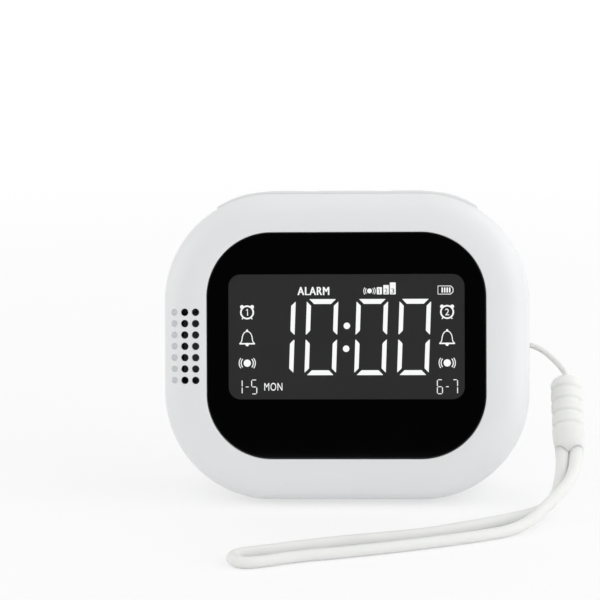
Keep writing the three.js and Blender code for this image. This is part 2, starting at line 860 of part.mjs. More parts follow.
// Half-disc counterweight on a hub; its heavy side hangs plumb in the leaned case.
function eccentricWeight() {
  const above = new THREE.BoxGeometry(far, far, far);
  above.translate(0, 0, far / 2);
  above.rotateX(lean);
  above.translate(0, motorY, motorZ);
  const half = rodX(weightStart, weightEnd, motorY, motorZ, weightRadius).subtract(solid(above));
  const hub = rodX(weightStart, weightEnd, motorY, motorZ, weightHubRadius);
  const boreRadius = shaftRadius + clearance;
  const bore = rodX(weightStart - past, weightEnd + past, motorY, motorZ, boreRadius, holeSides);
  return cut(join(half, hub), bore);
}

// Pouch cell with soft corners.
function batteryCell() {
  const ends = batteryOutline(-batteryEdge);
  const sides = batteryOutline(0);
  return loft([
    { y: batteryFront, points: ends },
    { y: batteryFront + batteryEdge, points: sides },
    { y: batteryBack - batteryEdge, points: sides },
    { y: batteryBack, points: ends },
  ]);
}

function chargeBoard() {
  return box(
    socketX - chargeBoardWidth / 2, socketX + chargeBoardWidth / 2,
    chargeBoardFront, chargeBoardBack, chargeBoardBottom, chargeBoardTop,
  );
}

// Reversible charging socket: a folded shell with its contact tongue.
function usbSocket() {
  const front = socketMouth - socketDepth;
  const shell = cut(
    extrudeY(socketOutline(0), front, socketMouth),
    extrudeY(socketOutline(-socketWall), front + socketBack, far),
  );
  const tongue = box(
    socketX - tongueWidth / 2, socketX + tongueWidth / 2,
    front + socketBack / 2, socketMouth - tongueSetback,
    socketZ - tongueThickness / 2, socketZ + tongueThickness / 2,
  );
  return join(shell, tongue);
}

// Tube along a route of points, with square ends.
function cordAlong(points, diameter, sides, steps) {
  const path = new THREE.CatmullRomCurve3(points.map(([x, y, z]) => new THREE.Vector3(x, y, z)));
  const section = [];
  for (let i = 0; i < sides; i++) {
    const angle = i / sides * 2 * Math.PI;
    section.push(new THREE.Vector2(Math.cos(angle), Math.sin(angle)).multiplyScalar(diameter / 2));
  }
  const shape = new THREE.Shape(section);
  return solid(new THREE.ExtrudeGeometry(shape, { steps, bevelEnabled: false, extrudePath: path }));
}

// Leads inside the case, each from its piece to the back of the main board.
const boardLand = boardBack + clearance;

function batteryLead() {
  const x = batteryX + batteryWidth / 2 + clearance;
  const y = backInside - railDepth - clearance - leadDiameter;
  const landX = x + leadReach;
  return cordAlong([
    [x, y, batteryZ], [x + leadStraight, y, batteryZ], [landX, (y + boardLand) / 2, batteryZ],
    [landX, boardLand + leadStraight, batteryZ], [landX, boardLand, batteryZ],
  ], leadDiameter, leadSides, leadSteps);
}

function motorLead() {
  const x = motorStart - clearance;
  const landX = x - leadReach;
  const landZ = boardBottom + boardNotchHeight + leadStraight;
  return cordAlong([
    [x, motorY, motorZ], [x - leadStraight, motorY, motorZ],
    [landX, (motorY + boardLand) / 2, (motorZ + landZ) / 2],
    [landX, boardLand + leadStraight, landZ], [landX, boardLand, landZ],
  ], leadDiameter, leadSides, leadSteps);
}

function speakerLead() {
  const y = speakerBack + clearance;
  const z = -(speakerLength / 2 + magnetLength / 2) / 2;
  const crest = Math.max(y, boardLand) + leadCrest;
  const landX = -boardHalfWidth + leadStraight;
  return cordAlong([
    [speakerX, y, z], [speakerX, y + leadStraight, z], [(speakerX + landX) / 2, crest, z],
    [landX, boardLand + leadStraight, z], [landX, boardLand, z],
  ], leadDiameter, leadSides, leadSteps);
}

// Routes of the strap in the standing clock's frame. The thin loop runs from the bead's crown round
// the pin and back. The tube runs from the bead's foot down to the table, along it in front of the
// clock, round the end of the loop and back beside itself.
const beadTop = [54.2, -3, 29.3];
const beadDown = [0.02, -0.68, -0.73];
const anchorRoute = [
  [54.18, -2.25, 29.01], [53, -0.9, 30.6], [51.4, 0.5, 32.05], [49.2, 2.2, 33.65], [46.9, 3.7, 34.65],
  [44.6, 4.7, 35.1], [42, 5.11, 35.07], [40.3, 4.42, 35.22], [39.6, 2.76, 35.57], [40.3, 1.1, 35.92],
  [42, 0.41, 36.07], [44.6, 0.7, 36.1], [46.9, 0.55, 35.7], [49.2, -0.3, 34.6], [51.4, -1.6, 33],
  [53, -2.6, 31.55], [54.18, -3.35, 30.03],
];
const strapRoute = [
  [52.8, -15.34, 15.96], [52.75, -17.5, 13.8], [52.6, -20.1, 11.2], [52.1, -22.7, 8.4], [51.2, -25.3, 5.7],
  [49.7, -27.5, 3.7], [47.5, -29.3, 2.5], [44.3, -31.2, 1.9], [39.5, -33.7, 1.55], [34.5, -36.6, 1.42],
  [26.5, -41.2, 1.42], [18.7, -45.1, 1.42], [8.6, -48.4, 1.42], [-0.8, -51.2, 1.42], [-10, -54.6, 1.42],
  [-17.8, -57.8, 1.42], [-22.3, -59.5, 1.42], [-24.2, -60.6, 1.42], [-25.2, -62.3, 1.42], [-25.1, -64.2, 1.42],
  [-24, -65.9, 1.42], [-22.3, -66.7, 1.42], [-20.3, -66.5, 1.42], [-17.4, -65.4, 1.42], [-9.7, -62.1, 1.42],
  [-0.5, -59.3, 1.42], [8.7, -56.2, 1.42], [18.7, -52.5, 1.42], [26.4, -49.3, 1.42], [34.1, -45.7, 1.42],
  [38.3, -43.4, 1.5], [42.5, -39.8, 1.95], [46.1, -36, 3.25], [48.9, -32.5, 4.95], [51.45, -29.4, 6.45],
  [53.75, -26.3, 8.15], [55.4, -23.1, 10.15], [56.2, -20.1, 12.3], [56.25, -17.4, 13.95], [56.2, -15.28, 15.98],
];

// Grooved silicone bead on the strap, its crown at the origin and its body along -y.
function strapBead() {
  const foot = -beadLength;
  const groove = beadRadius - beadGrooveDepth;
  const profile = [[0, foot], [beadRadius - beadEdge, foot], [beadRadius, foot + beadEdge]];
  for (let i = beadGrooves - 1; i >= 0; i--) {
    const middle = -beadFirstGroove - i * beadGroovePitch;
    profile.push([beadRadius, middle - beadGrooveWidth / 2]);
    profile.push([groove, middle - beadGrooveFloor / 2]);
    profile.push([groove, middle + beadGrooveFloor / 2]);
    profile.push([beadRadius, middle + beadGrooveWidth / 2]);
  }
  for (let i = 0; i <= domeSteps; i++) {
    const angle = i / domeSteps * Math.PI / 2;
    const radius = beadTopFlat + (beadRadius - beadTopFlat) * Math.cos(angle);
    profile.push([radius, beadDome * (Math.sin(angle) - 1)]);
  }
  profile.push([0, 0]);
  return solid(turned(profile, beadSides));
}

const whitePlastic = { color: 0xf1f2f2, roughness: 0.38, metalness: 0 };
const keyPlastic = { color: 0xeceded, roughness: 0.5, metalness: 0 };
const blackLens = { color: 0x060607, roughness: 0.08, metalness: 0 };
const displayGlass = { color: 0x2c2c2d, roughness: 0.3, metalness: 0 };
const milkyPlastic = { color: 0xdfe4e8, roughness: 0.4, metalness: 0 };
const blackPlastic = { color: 0x1b1b1c, roughness: 0.6, metalness: 0 };
const boardGreen = { color: 0x1d5a36, roughness: 0.45, metalness: 0 };
const flexAmber = { color: 0xb5782a, roughness: 0.4, metalness: 0 };
const bareSteel = { color: 0xb9bcc0, roughness: 0.3, metalness: 1 };
const darkRubber = { color: 0x2b2b2d, roughness: 0.85, metalness: 0 };
const coneFilm = { color: 0x6d6f72, roughness: 0.55, metalness: 0 };
const heavyAlloy = { color: 0x8d8a83, roughness: 0.4, metalness: 1 };
const cellFilm = { color: 0xa9b4bf, roughness: 0.35, metalness: 0.6 };
const silicone = { color: 0xe8eae6, roughness: 0.55, metalness: 0 };
const whiteCord = { color: 0xe6e8e4, roughness: 0.8, metalness: 0 };

function piece(name, geometry, finish) {
  const mesh = new THREE.Mesh(geometry, new THREE.MeshStandardMaterial(finish));
  mesh.name = name;
  return mesh;
}

const clock = new THREE.Group();
const body = new THREE.Group();
body.rotation.x = -lean;
clock.add(body);

const put = (name, shape, finish) => body.add(piece(name, surface(shape), finish));

put('front_shell', frontShell(), whitePlastic);
put('rear_shell', rearShell(), whitePlastic);
put('front_lens', frontLens(), blackLens);
put('lcd_panel', displayPlate(panelFront, panelBack), displayGlass);
put('backlight_panel', displayPlate(backlightFront, backlightBack), milkyPlastic);
put('lcd_frame', displayFrame(), blackPlastic);
put('main_board', mainBoard(), boardGreen);
put('key_strip', keyStrip(), keyPlastic);
put('key_flex', keyFlex(), flexAmber);
for (const key of keys) {
  put(`key_${key.name}`, keyCap(key), keyPlastic);
  put(`switch_${key.name}`, switchBody(key), blackPlastic);
  put(`plunger_${key.name}`, edgeRod(key.s, plungerRadius, plungerTop, plungerEnd), blackPlastic);
}
put('speaker_gasket', speakerGasket(), darkRubber);
put('speaker_frame', speakerFrame(), blackPlastic);
put('speaker_cone', speakerCone(), coneFilm);
put('speaker_magnet', speakerMagnet(), bareSteel);
put('motor_can', motorCan(), bareSteel);
put('motor_boot', motorBoot(), darkRubber);
put('motor_shaft', motorShaft(), bareSteel);
put('eccentric_weight', eccentricWeight(), heavyAlloy);
put('battery_cell', batteryCell(), cellFilm);
put('charge_board', chargeBoard(), boardGreen);
put('usb_socket', usbSocket(), bareSteel);
put('strap_pin', rodZ(pinX, anchorY, pinRadius, -pinHalf, pinHalf), bareSteel);
put('battery_lead', batteryLead(), darkRubber);
put('motor_lead', motorLead(), darkRubber);
put('speaker_lead', speakerLead(), darkRubber);
const corners = ['upper_left', 'upper_right', 'lower_left', 'lower_right'];
corners.forEach((corner, i) => {
  const [boardX, boardZ] = boardScrews[i];
  const boardScrewHead = boardBack + clearance;
  put(`board_screw_${corner}`, screw(
    boardX, boardZ, boardScrewHead, boardFront - boardScrewGrip,
    boardScrewRadius, boardScrewHeadRadius, boardScrewHeadHeight,
  ), bareSteel);
  const [caseX, caseZ] = caseScrews[i];
  put(`case_screw_${corner}`, screw(
    caseX, caseZ, screwHeadFront, caseScrewTip, caseScrewRadius, caseScrewHeadRadius, caseScrewHeadHeight,
  ), bareSteel);
});

// The leaned case stands on z = 0 with its box centred on the origin.
body.updateMatrixWorld(true);
const caseBox = new THREE.Box3().setFromObject(body, true);
body.position.set(
  -(caseBox.min.x + caseBox.max.x) / 2,
  -(caseBox.min.y + caseBox.max.y) / 2,
  -caseBox.min.z,
);

const anchorCord = cordAlong(anchorRoute, anchorCordDiameter, cordSides, anchorSteps);
const strapTube = cordAlong(strapRoute, strapTubeDiameter, cordSides, strapSteps);
clock.add(piece('strap_cord', surface(anchorCord), whiteCord));
clock.add(piece('strap_loop', surface(strapTube), silicone));
const bead = piece('strap_bead', surface(strapBead()), silicone);
bead.position.set(...beadTop);
const beadAxis = new THREE.Vector3(...beadDown).normalize();
bead.quaternion.setFromUnitVectors(new THREE.Vector3(0, -1, 0), beadAxis);
clock.add(bead);

export default clock;
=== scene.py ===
import math

import bmesh
import bpy
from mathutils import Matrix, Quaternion, Vector


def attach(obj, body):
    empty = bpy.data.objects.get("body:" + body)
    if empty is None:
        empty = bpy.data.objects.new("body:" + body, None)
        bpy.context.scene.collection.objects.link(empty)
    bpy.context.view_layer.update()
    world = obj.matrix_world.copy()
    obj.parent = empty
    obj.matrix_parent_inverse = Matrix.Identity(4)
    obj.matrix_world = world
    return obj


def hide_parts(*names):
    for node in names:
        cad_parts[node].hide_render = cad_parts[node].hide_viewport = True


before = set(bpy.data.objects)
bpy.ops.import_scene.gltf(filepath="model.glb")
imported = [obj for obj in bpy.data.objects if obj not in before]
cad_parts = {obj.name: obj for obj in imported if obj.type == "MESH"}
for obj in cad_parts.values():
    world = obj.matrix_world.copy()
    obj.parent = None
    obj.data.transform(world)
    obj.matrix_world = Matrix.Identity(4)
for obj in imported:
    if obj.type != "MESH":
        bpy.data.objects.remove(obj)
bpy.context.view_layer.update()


# Camera
# A long lens from in front and a little above, turned by less than a degree so that the display stands level.
camera_place = Vector((0.01871, -0.644981, 0.196918))
camera_aim = Vector((-0.011282, -0.012166, 0.050634))
camera_roll = math.radians(-0.76)
camera_data = bpy.data.cameras.new("camera")
camera_data.sensor_fit = "HORIZONTAL"
camera_data.sensor_width = 36
camera_data.lens = 159.16
camera = bpy.data.objects.new("camera", camera_data)
bpy.context.scene.collection.objects.link(camera)
camera.location = camera_place
level_turn = (camera_aim - camera_place).to_track_quat("-Z", "Y")
camera.rotation_euler = (level_turn @ Quaternion((0, 0, 1), camera_roll)).to_euler()
bpy.context.scene.camera = camera


# Wrist strap cords
# A thin braided cord loops round the pin in the case's side and both its ends go into the bead. A moulded
# silicone tube leaves the bead's foot, lies on the table in a long loop and comes back into the bead.
mm = 0.001
thin_cord_width = 1.15
thin_cord_route = (
    (54.05, -3.6, 27.6), (54.15, -2.35, 28.95), (53, -0.9, 30.6), (51.4, 0.5, 32.05), (49.2, 2.2, 33.65),
    (46.9, 3.7, 34.65), (44.6, 4.7, 35.1), (42, 5.11, 35.07), (40.3, 4.42, 35.22), (39.6, 2.76, 35.57),
    (40.3, 1.1, 35.92), (42, 0.41, 36.07), (44.6, 0.7, 36.1), (46.9, 0.55, 35.7), (49.2, -0.3, 34.6),
    (51.4, -1.6, 33), (53, -2.6, 31.55), (54.15, -3.4, 30.0), (54.1, -4.5, 28.5),
)
tube_width = 2.8
tube_roots = (1.43, 1.22, 1.08)
tube_route = (
    (53.06, -16.86, 14.44), (52.85, -20.1, 11.2), (52.25, -22.7, 8.4), (51.2, -25.3, 5.7),
    (49.7, -27.5, 3.7), (47.5, -29.3, 2.5), (44.3, -31.2, 1.9), (39.5, -33.7, 1.55), (34.5, -36.6, 1.42),
    (26.5, -41.2, 1.42), (18.7, -45.1, 1.42), (8.6, -48.4, 1.42), (-0.8, -51.2, 1.42), (-10, -54.6, 1.42),
    (-17.8, -57.8, 1.42), (-22.3, -59.5, 1.42), (-24.2, -60.6, 1.42), (-25.2, -62.3, 1.42),
    (-25.1, -64.2, 1.42), (-24, -65.9, 1.42), (-22.3, -66.7, 1.42), (-20.3, -66.5, 1.42),
    (-17.4, -65.4, 1.42),
    (-9.7, -62.1, 1.42), (-0.5, -59.3, 1.42), (8.7, -56.2, 1.42), (18.7, -52.5, 1.42), (26.4, -49.3, 1.42),
    (34.1, -45.7, 1.42), (38.3, -43.4, 1.5), (42.5, -39.8, 1.95), (46.1, -36, 3.25), (48.9, -32.5, 4.95),
    (51.45, -29.4, 6.45), (53.75, -26.3, 8.15), (55.3, -23.1, 10.15), (56.0, -20.1, 12.3),
    (55.96, -16.86, 14.44),
)


def cord_along(name, route, width, roots=()):
    curve = bpy.data.curves.new(name, "CURVE")
    curve.dimensions = "3D"
    curve.bevel_depth = width / 2 * mm
    curve.bevel_resolution = 7
    curve.resolution_u = 8
    curve.use_fill_caps = True
    spline = curve.splines.new("BEZIER")
    spline.bezier_points.add(len(route) - 1)
    for point, place in zip(spline.bezier_points, route):
        point.co = Vector(place) * mm
        point.handle_left_type = "AUTO"
        point.handle_right_type = "AUTO"
    for number, swell in enumerate(roots):
        spline.bezier_points[number].radius = swell
        spline.bezier_points[-1 - number].radius = swell
    piece = bpy.data.objects.new(name, curve)
    bpy.context.scene.collection.objects.link(piece)
    return piece


class Shade:
    """A value in a material's nodes, written as plain sums and products."""

    def __init__(self, tree, socket=None):
        self.tree = tree
        self.socket = socket

    def node(self, kind, settings=(), sockets=(), out=0):
        node = self.tree.nodes.new(kind)
        for name, value in dict(settings).items():
            setattr(node, name, value)
        for name, value in dict(sockets).items():
            if isinstance(value, Shade):
                self.tree.links.new(value.socket, node.inputs[name])
            else:
                node.inputs[name].default_value = value
        return Shade(self.tree, node.outputs[out])

    def math(self, operation, first, second=0):
        return self.node("ShaderNodeMath", {"operation": operation}, {0: first, 1: second})

    def __add__(self, other):
        return self.math("ADD", self, other)

    def __sub__(self, other):
        return self.math("SUBTRACT", self, other)

    def __rsub__(self, other):
        return self.math("SUBTRACT", other, self)

    def __mul__(self, other):
        return self.math("MULTIPLY", self, other)

    __radd__ = __add__
    __rmul__ = __mul__


def finish(name, fixed):
    material = bpy.data.materials.new(name)
    material.use_nodes = True
    surface = material.node_tree.nodes["Principled BSDF"]
    for socket, value in fixed.items():
        surface.inputs[socket].default_value = value
    return material, Shade(material.node_tree), surface


def feed(surface, values):
    for socket, value in values.items():
        value.tree.links.new(value.socket, surface.inputs[socket])


def blend(paint, share, one, other):
    return paint.node("ShaderNodeMix", {"data_type": "RGBA"}, {0: share, 6: one, 7: other}, out=2)


def noise(paint, place, size, detail=2):
    return paint.node("ShaderNodeTexNoise", {}, {"Vector": place, "Scale": 1 / (size * mm), "Detail": detail})


def moulded(name, pale, deep, gloss, grain, relief, fixed):
    """Moulded plastic or rubber: a slow drift of colour, an uneven sheen and the fine grain of the tool."""
    material, paint, surface = finish(name, fixed)
    place = paint.node("ShaderNodeTexCoord", out=3)
    drift = noise(paint, place, 14, 3)
    skin = noise(paint, place, grain)
    bump = paint.node("ShaderNodeBump", {}, {"Strength": relief, "Distance": 0.1 * mm, "Height": skin})
    feed(surface, {
        "Base Color": blend(paint, drift, pale, deep),
        "Roughness": gloss + (drift - 0.5) * 0.12 + (skin - 0.5) * 0.1,
        "Normal": bump,
    })
    return material


silicone = moulded(
    "silicone", (0.845, 0.85, 0.835, 1), (0.805, 0.812, 0.795, 1), 0.5, 0.22, 0.12,
    {
        "Subsurface Weight": 1.0, "Subsurface Radius": (1, 0.97, 0.92), "Subsurface Scale": 2.2 * mm,
        "IOR": 1.41,
    },
)

# The braid is two sets of strands that wind opposite ways along the cord's own length. Its colour follows
# their height, with painted shade darker in the hollows between the strands.
strand_turns = 34
braid, braid_paint, braid_surface = finish("white_braid", {"Sheen Weight": 0.15})
along = braid_paint.node(
    "ShaderNodeSeparateXYZ", {}, {"Vector": braid_paint.node("ShaderNodeTexCoord", out=2)},
)
around = Shade(braid.node_tree, along.socket.node.outputs[1])
right_lay = braid_paint.math("SINE", (along * strand_turns + around * 3) * math.tau)
left_lay = braid_paint.math("SINE", (along * strand_turns - around * 3) * math.tau)
strands = right_lay * left_lay * 0.5 + 0.5
feed(braid_surface, {
    # Painted shade: the base colour is darker where the strands are low, in the hollows between them.
    "Base Color": blend(braid_paint, strands, (0.82, 0.825, 0.8, 1), (0.93, 0.932, 0.91, 1)),
    "Roughness": strands * 0.15 + 0.62,
    "Normal": braid_paint.node(
        "ShaderNodeBump", {}, {"Strength": 0.6, "Distance": 0.12 * mm, "Height": strands},
    ),
})

strap_cord = cord_along("anchor_cord", thin_cord_route, thin_cord_width)
strap_cord.data.materials.append(braid)
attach(strap_cord, "case")
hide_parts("strap_cord")

strap_loop = cord_along("strap_tube", tube_route, tube_width, tube_roots)
strap_loop.data.materials.append(silicone)
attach(strap_loop, "case")
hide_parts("strap_loop")


# Strap bead
# A soft silicone ferrule with a domed crown, four moulded grooves and a tapered boot. Its crown grips both
# ends of the thin cord, and the boot closes round both ends of the tube.
bead_radius = 3.8
bead_flare = 0.05
bead_length = 16.7
bead_down = Vector((0.02, -0.68, -0.73))
bead_crown = Vector((54.2, -3, 29.3)) + bead_down * 1.1
groove_first = 3.5
groove_pitch = 3.38
groove_half = 0.62
groove_depth = 0.5
groove_floor_round = 0.28
groove_edge_round = 0.25
bead_dome = 2.5
boot_length = 4.6
boot_across = 0.8
boot_deep = 0.42
boot_shoulder_round = 1.6
boot_round = 0.4


def alone(piece):
    bpy.ops.object.select_all(action="DESELECT")
    piece.select_set(True)
    bpy.context.view_layer.objects.active = piece


def pick(piece, kind, test):
    """Selects only the vertices, edges or faces whose middle passes the test, in edit mode."""
    bpy.ops.mesh.select_mode(type=kind)
    bpy.ops.mesh.select_all(action="DESELECT")
    grid = bmesh.from_edit_mesh(piece.data)
    for item in {"VERT": grid.verts, "EDGE": grid.edges, "FACE": grid.faces}[kind]:
        corners = [item] if kind == "VERT" else item.verts
        middle = sum((corner.co for corner in corners), Vector()) / len(corners)
        item.select_set(test(middle))
    grid.select_flush_mode()
    bmesh.update_edit_mesh(piece.data)


def smooth(piece, degrees):
    alone(piece)
    bpy.ops.object.shade_smooth_by_angle(angle=math.radians(degrees))


bpy.ops.object.select_all(action="DESELECT")
bpy.ops.mesh.primitive_cylinder_add(
    vertices=72, radius=bead_radius, depth=bead_length, location=(0, 0, -bead_length / 2),
)
bead = bpy.context.active_object
bead.name = "bead"
bpy.ops.object.transform_apply(location=True, rotation=True, scale=True)
bpy.ops.object.mode_set(mode="EDIT")
for groove in range(4):
    middle = -groove_first - groove * groove_pitch
    for level in (middle + groove_half, middle, middle - groove_half):
        bpy.ops.mesh.select_all(action="SELECT")
        bpy.ops.mesh.bisect(plane_co=(0, 0, level), plane_no=(0, 0, 1))
    pick(bead, "EDGE", lambda at: abs(at.z - middle) < 0.05)
    narrow = 1 - groove_depth / bead_radius
    bpy.ops.transform.resize(value=(narrow, narrow, 1), center_override=(0, 0, middle))
    bpy.ops.mesh.bevel(offset=groove_floor_round, segments=4, affect="EDGES")
    for side in (middle + groove_half, middle - groove_half):
        pick(bead, "EDGE", lambda at: abs(at.z - side) < 0.02)
        bpy.ops.mesh.bevel(offset=groove_edge_round, segments=4, affect="EDGES")
pick(bead, "EDGE", lambda at: at.z > -0.01 and at.xy.length > bead_radius - 0.1)
bpy.ops.mesh.bevel(offset=bead_dome, segments=14, affect="EDGES")
pick(bead, "FACE", lambda at: at.z < 0.01 - bead_length)
bpy.ops.mesh.extrude_region_move(TRANSFORM_OT_translate={"value": (0, 0, -boot_length)})
bpy.ops.transform.resize(value=(boot_across, boot_deep, 1), center_override=(0, 0, 0))
pick(bead, "EDGE", lambda at: abs(at.z + bead_length) < 0.01 and at.xy.length > bead_radius - 0.1)
bpy.ops.mesh.bevel(offset=boot_shoulder_round, segments=6, affect="EDGES")
bead_end = -bead_length - boot_length
pick(bead, "EDGE", lambda at: at.z < bead_end + 0.01 and at.xy.length > bead_radius * boot_deep - 0.1)
bpy.ops.mesh.bevel(offset=boot_round, segments=6, affect="EDGES")
bpy.ops.object.mode_set(mode="OBJECT")
for corner in bead.data.vertices:
    corner.co.xy *= 1 - bead_flare * corner.co.z / bead_length
smooth(bead, 40)
bead.rotation_euler = bead_down.to_track_quat("-Z", "Y").to_euler()
bead.location = bead_crown * mm
bead.scale = (mm, mm, mm)
alone(bead)
bpy.ops.object.transform_apply(location=True, rotation=True, scale=True)
bead.data.materials.append(silicone)
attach(bead, "case")
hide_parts("strap_bead")


# Rear shell
# The white back half of the case, injection moulded in satin ABS: a deep tray with a rounded rim to the back,
# a flat foot under it, a sunk bed for the key strip, a strap pocket, four screw wells and a charging slot.
lean = math.radians(12)
case_shift = Vector((0, -14.7964, 39.3087)) * mm
case_width = 90
case_height = 75.4
case_corner = 26.5
case_back = 30
front_depth = 10
joint_gap = 0.3
rear_front = front_depth + joint_gap
rear_wall = 2
rear_inset = 7
rear_round = 6
foot_point = (0, 11.7, -37.7)
foot_up = (0, -math.sin(lean), math.cos(lean))
facings = {"front": (90, 0, 0), "back": (-90, 0, 0), "up": (0, 0, 0), "right": (0, 90, 0)}
outward = {"front": (0, -1, 0), "back": (0, 1, 0), "up": (0, 0, 1), "right": (1, 0, 0)}


def plate(name, width, height, corner, at, facing, steps=32):
    """A flat plate with round corners, left in edit mode with its face selected."""
    bpy.ops.object.select_all(action="DESELECT")
    turn = [math.radians(angle) for angle in facings[facing]]
    bpy.ops.mesh.primitive_plane_add(size=1, location=at, rotation=turn)
    piece = bpy.context.active_object
    piece.name = name
    piece.scale = (width, height, 1)
    bpy.ops.object.transform_apply(location=True, rotation=True, scale=True)
    bpy.ops.object.mode_set(mode="EDIT")
    bpy.ops.mesh.select_all(action="SELECT")
    if corner:
        bpy.ops.mesh.bevel(offset=corner, segments=steps, affect="VERTICES")
    bpy.ops.mesh.select_mode(type="FACE")
    return piece


def draw_out(x=0, y=0, z=0):
    bpy.ops.mesh.extrude_region_move(TRANSFORM_OT_translate={"value": (x, y, z)})


def round_over(inset, depth, end=90, steps=8):
    """Rounds the rim of the selected face with small insets along a quarter ellipse."""
    angles = [math.radians(end) * i / steps for i in range(steps + 1)]
    for low, high in zip(angles, angles[1:]):
        bpy.ops.mesh.inset(
            thickness=inset * (math.cos(low) - math.cos(high)),
            depth=depth * (math.sin(high) - math.sin(low)),
        )


def close_open_side():
    bpy.ops.mesh.select_mode(type="EDGE")
    bpy.ops.mesh.select_all(action="DESELECT")
    bpy.ops.mesh.select_non_manifold()
    bpy.ops.mesh.edge_face_add()


def face_out():
    bpy.ops.mesh.select_all(action="SELECT")
    bpy.ops.mesh.normals_make_consistent(inside=False)
    bpy.ops.object.mode_set(mode="OBJECT")


def prism(name, width, height, corner, at, facing, reach, steps=12):
    """A closed block with round corners, drawn out from a plate."""
    piece = plate(name, width, height, corner, at, facing, steps)
    draw_out(*(reach * step for step in outward[facing]))
    close_open_side()
    face_out()
    return piece


def rod(name, radius, start, end, sides=48):
    """A closed round bar between two points."""
    start, end = Vector(start), Vector(end)
    bpy.ops.object.select_all(action="DESELECT")
    bpy.ops.mesh.primitive_cylinder_add(
        vertices=sides, radius=radius, depth=(end - start).length, location=(start + end) / 2,
        rotation=(end - start).to_track_quat("Z", "Y").to_euler(),
    )
    piece = bpy.context.active_object
    piece.name = name
    bpy.ops.object.transform_apply(location=True, rotation=True, scale=True)
    return piece


def shape_with(piece, kind, **settings):
    alone(piece)
    modifier = piece.modifiers.new(kind.lower(), kind)
    for name, value in settings.items():
        setattr(modifier, name, value)
    bpy.ops.object.modifier_apply(modifier=modifier.name)


def cut(piece, tool, operation="DIFFERENCE"):
    shape_with(piece, "BOOLEAN", object=tool, operation=operation, solver="EXACT")
    bpy.data.objects.remove(tool)


def stand(piece):
    """Leans a piece back with the case and sets it on the table."""
    alone(piece)
    piece.rotation_euler = (-lean, 0, 0)
    piece.location = case_shift
    piece.scale = (mm, mm, mm)
    bpy.ops.object.transform_apply(location=True, rotation=True, scale=True)


def fit(piece, material, body, slot, *nodes):
    """Gives a piece its finish and its place on a body, and the solids that it stands for."""
    piece.data.materials.clear()
    piece.data.materials.append(material)
    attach(piece, body)
    if nodes:
        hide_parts(*nodes)


# The case's top edge as a path, so that pieces made flat can be bent over it.
edge_flat = case_width / 2 - case_corner
edge_turn = math.radians(70)
edge_steps = 140
edge_half = edge_flat + case_corner * edge_turn
edge_curve = bpy.data.curves.new("edge_path", "CURVE")
edge_curve.dimensions = "3D"
edge_curve.twist_mode = "Z_UP"
edge_curve.use_path = True
edge_angles = [edge_turn * i / edge_steps for i in range(edge_steps + 1)]
edge_right = [
    (edge_flat + case_corner * math.sin(a), 0, case_height / 2 - case_corner * (1 - math.cos(a)), 1)
    for a in edge_angles
]
edge_left = [(-x, y, z, w) for x, y, z, w in reversed(edge_right)]
edge_spline = edge_curve.splines.new("POLY")
edge_spline.points.add(2 * len(edge_right) - 1)
for point, place in zip(edge_spline.points, edge_left + edge_right):
    point.co = place
edge_path = bpy.data.objects.new("edge_path", edge_curve)
bpy.context.scene.collection.objects.link(edge_path)


def over_top(piece):
    """Bends a piece made flat, x along the edge and z out of it, over the case's rounded top edge."""
    alone(piece)
    along_edge = [corner.co.x for corner in piece.data.vertices]
    bpy.ops.object.mode_set(mode="EDIT")
    for stop in range(18):
        for place in (edge_flat + stop, -edge_flat - stop):
            if min(along_edge) + 0.05 < place < max(along_edge) - 0.05:
                bpy.ops.mesh.select_all(action="SELECT")
                bpy.ops.mesh.bisect(plane_co=(place, 0, 0), plane_no=(1, 0, 0))
    bpy.ops.object.mode_set(mode="OBJECT")
    piece.location.x = edge_half
    bpy.ops.object.transform_apply(location=True, rotation=True, scale=True)
    shape_with(piece, "CURVE", object=edge_path, deform_axis="POS_X")


keys = (("far_left", -27, 8), ("left", -15, 9), ("centre", 0, 15), ("right", 15, 9), ("far_right", 27, 8))
key_width = 5.6
key_corner = 2.4
key_depth = 15.3
flange_border = 0.8
strip_half = 33
strip_width = 10
strip_bottom = -1.35
bed = strip_bottom - joint_gap
bed_thickness = 1.5
shelf_border = 2
bed_half = strip_half + joint_gap
bed_back = rear_front + strip_width + joint_gap
screw_places = ((-36.5, 17), (36.5, 17), (-36.5, -17), (36.5, -17))
screw_seat = 22
boss_radius = 3.2
screw_hole = 1.55
well_radius = 2.55
socket_x = 22
socket_z = -11.8
socket_width = 8.94
socket_height = 3.26
pin_x = 42
pin_y = 18
pin_half = 5.5
pin_radius = 1.6
pin_round = 0.3
pocket_floor = 38.6
pocket_height = 9
pocket_width = 7.4
pocket_corner = 1.85
pocket_wall = 1.6

white_case = moulded(
    "white_case", (0.845, 0.85, 0.855, 1), (0.815, 0.822, 0.83, 1), 0.36, 0.3, 0.05, {"IOR": 1.53},
)

rear = plate("rear_half", case_width, case_height, case_corner, (0, rear_front, 0), "back")
draw_out(y=case_back - rear_round - rear_front)
round_over(rear_inset, rear_round, steps=28)
bpy.ops.mesh.select_all(action="SELECT")
bpy.ops.mesh.bisect(plane_co=foot_point, plane_no=foot_up, use_fill=True, clear_inner=True)
face_out()
shape_with(rear, "SOLIDIFY", thickness=rear_wall, offset=-1, use_even_offset=True)
shelf_back = bed_back + shelf_border
shelf = prism(
    "shelf", 2 * (bed_half + shelf_border), shelf_back - rear_front, 0,
    (0, (shelf_back + rear_front) / 2, bed - bed_thickness), "up", bed_thickness + 0.3,
)
over_top(shelf)
cut(rear, shelf, "UNION")
cut(rear, prism(
    "pocket_block", 14.2, pocket_width + 2 * pocket_wall, 0,
    (pocket_floor - pocket_wall, pin_y, 0), "right", 7,
), "UNION")
for x, z in screw_places:
    cut(rear, rod("boss", boss_radius, (x, 17, z), (x, 29, z)), "UNION")
    cut(rear, rod("hole", screw_hole, (x, 15, z), (x, 26, z)))
    cut(rear, rod("well", well_radius, (x, screw_seat, z), (x, 33, z)))
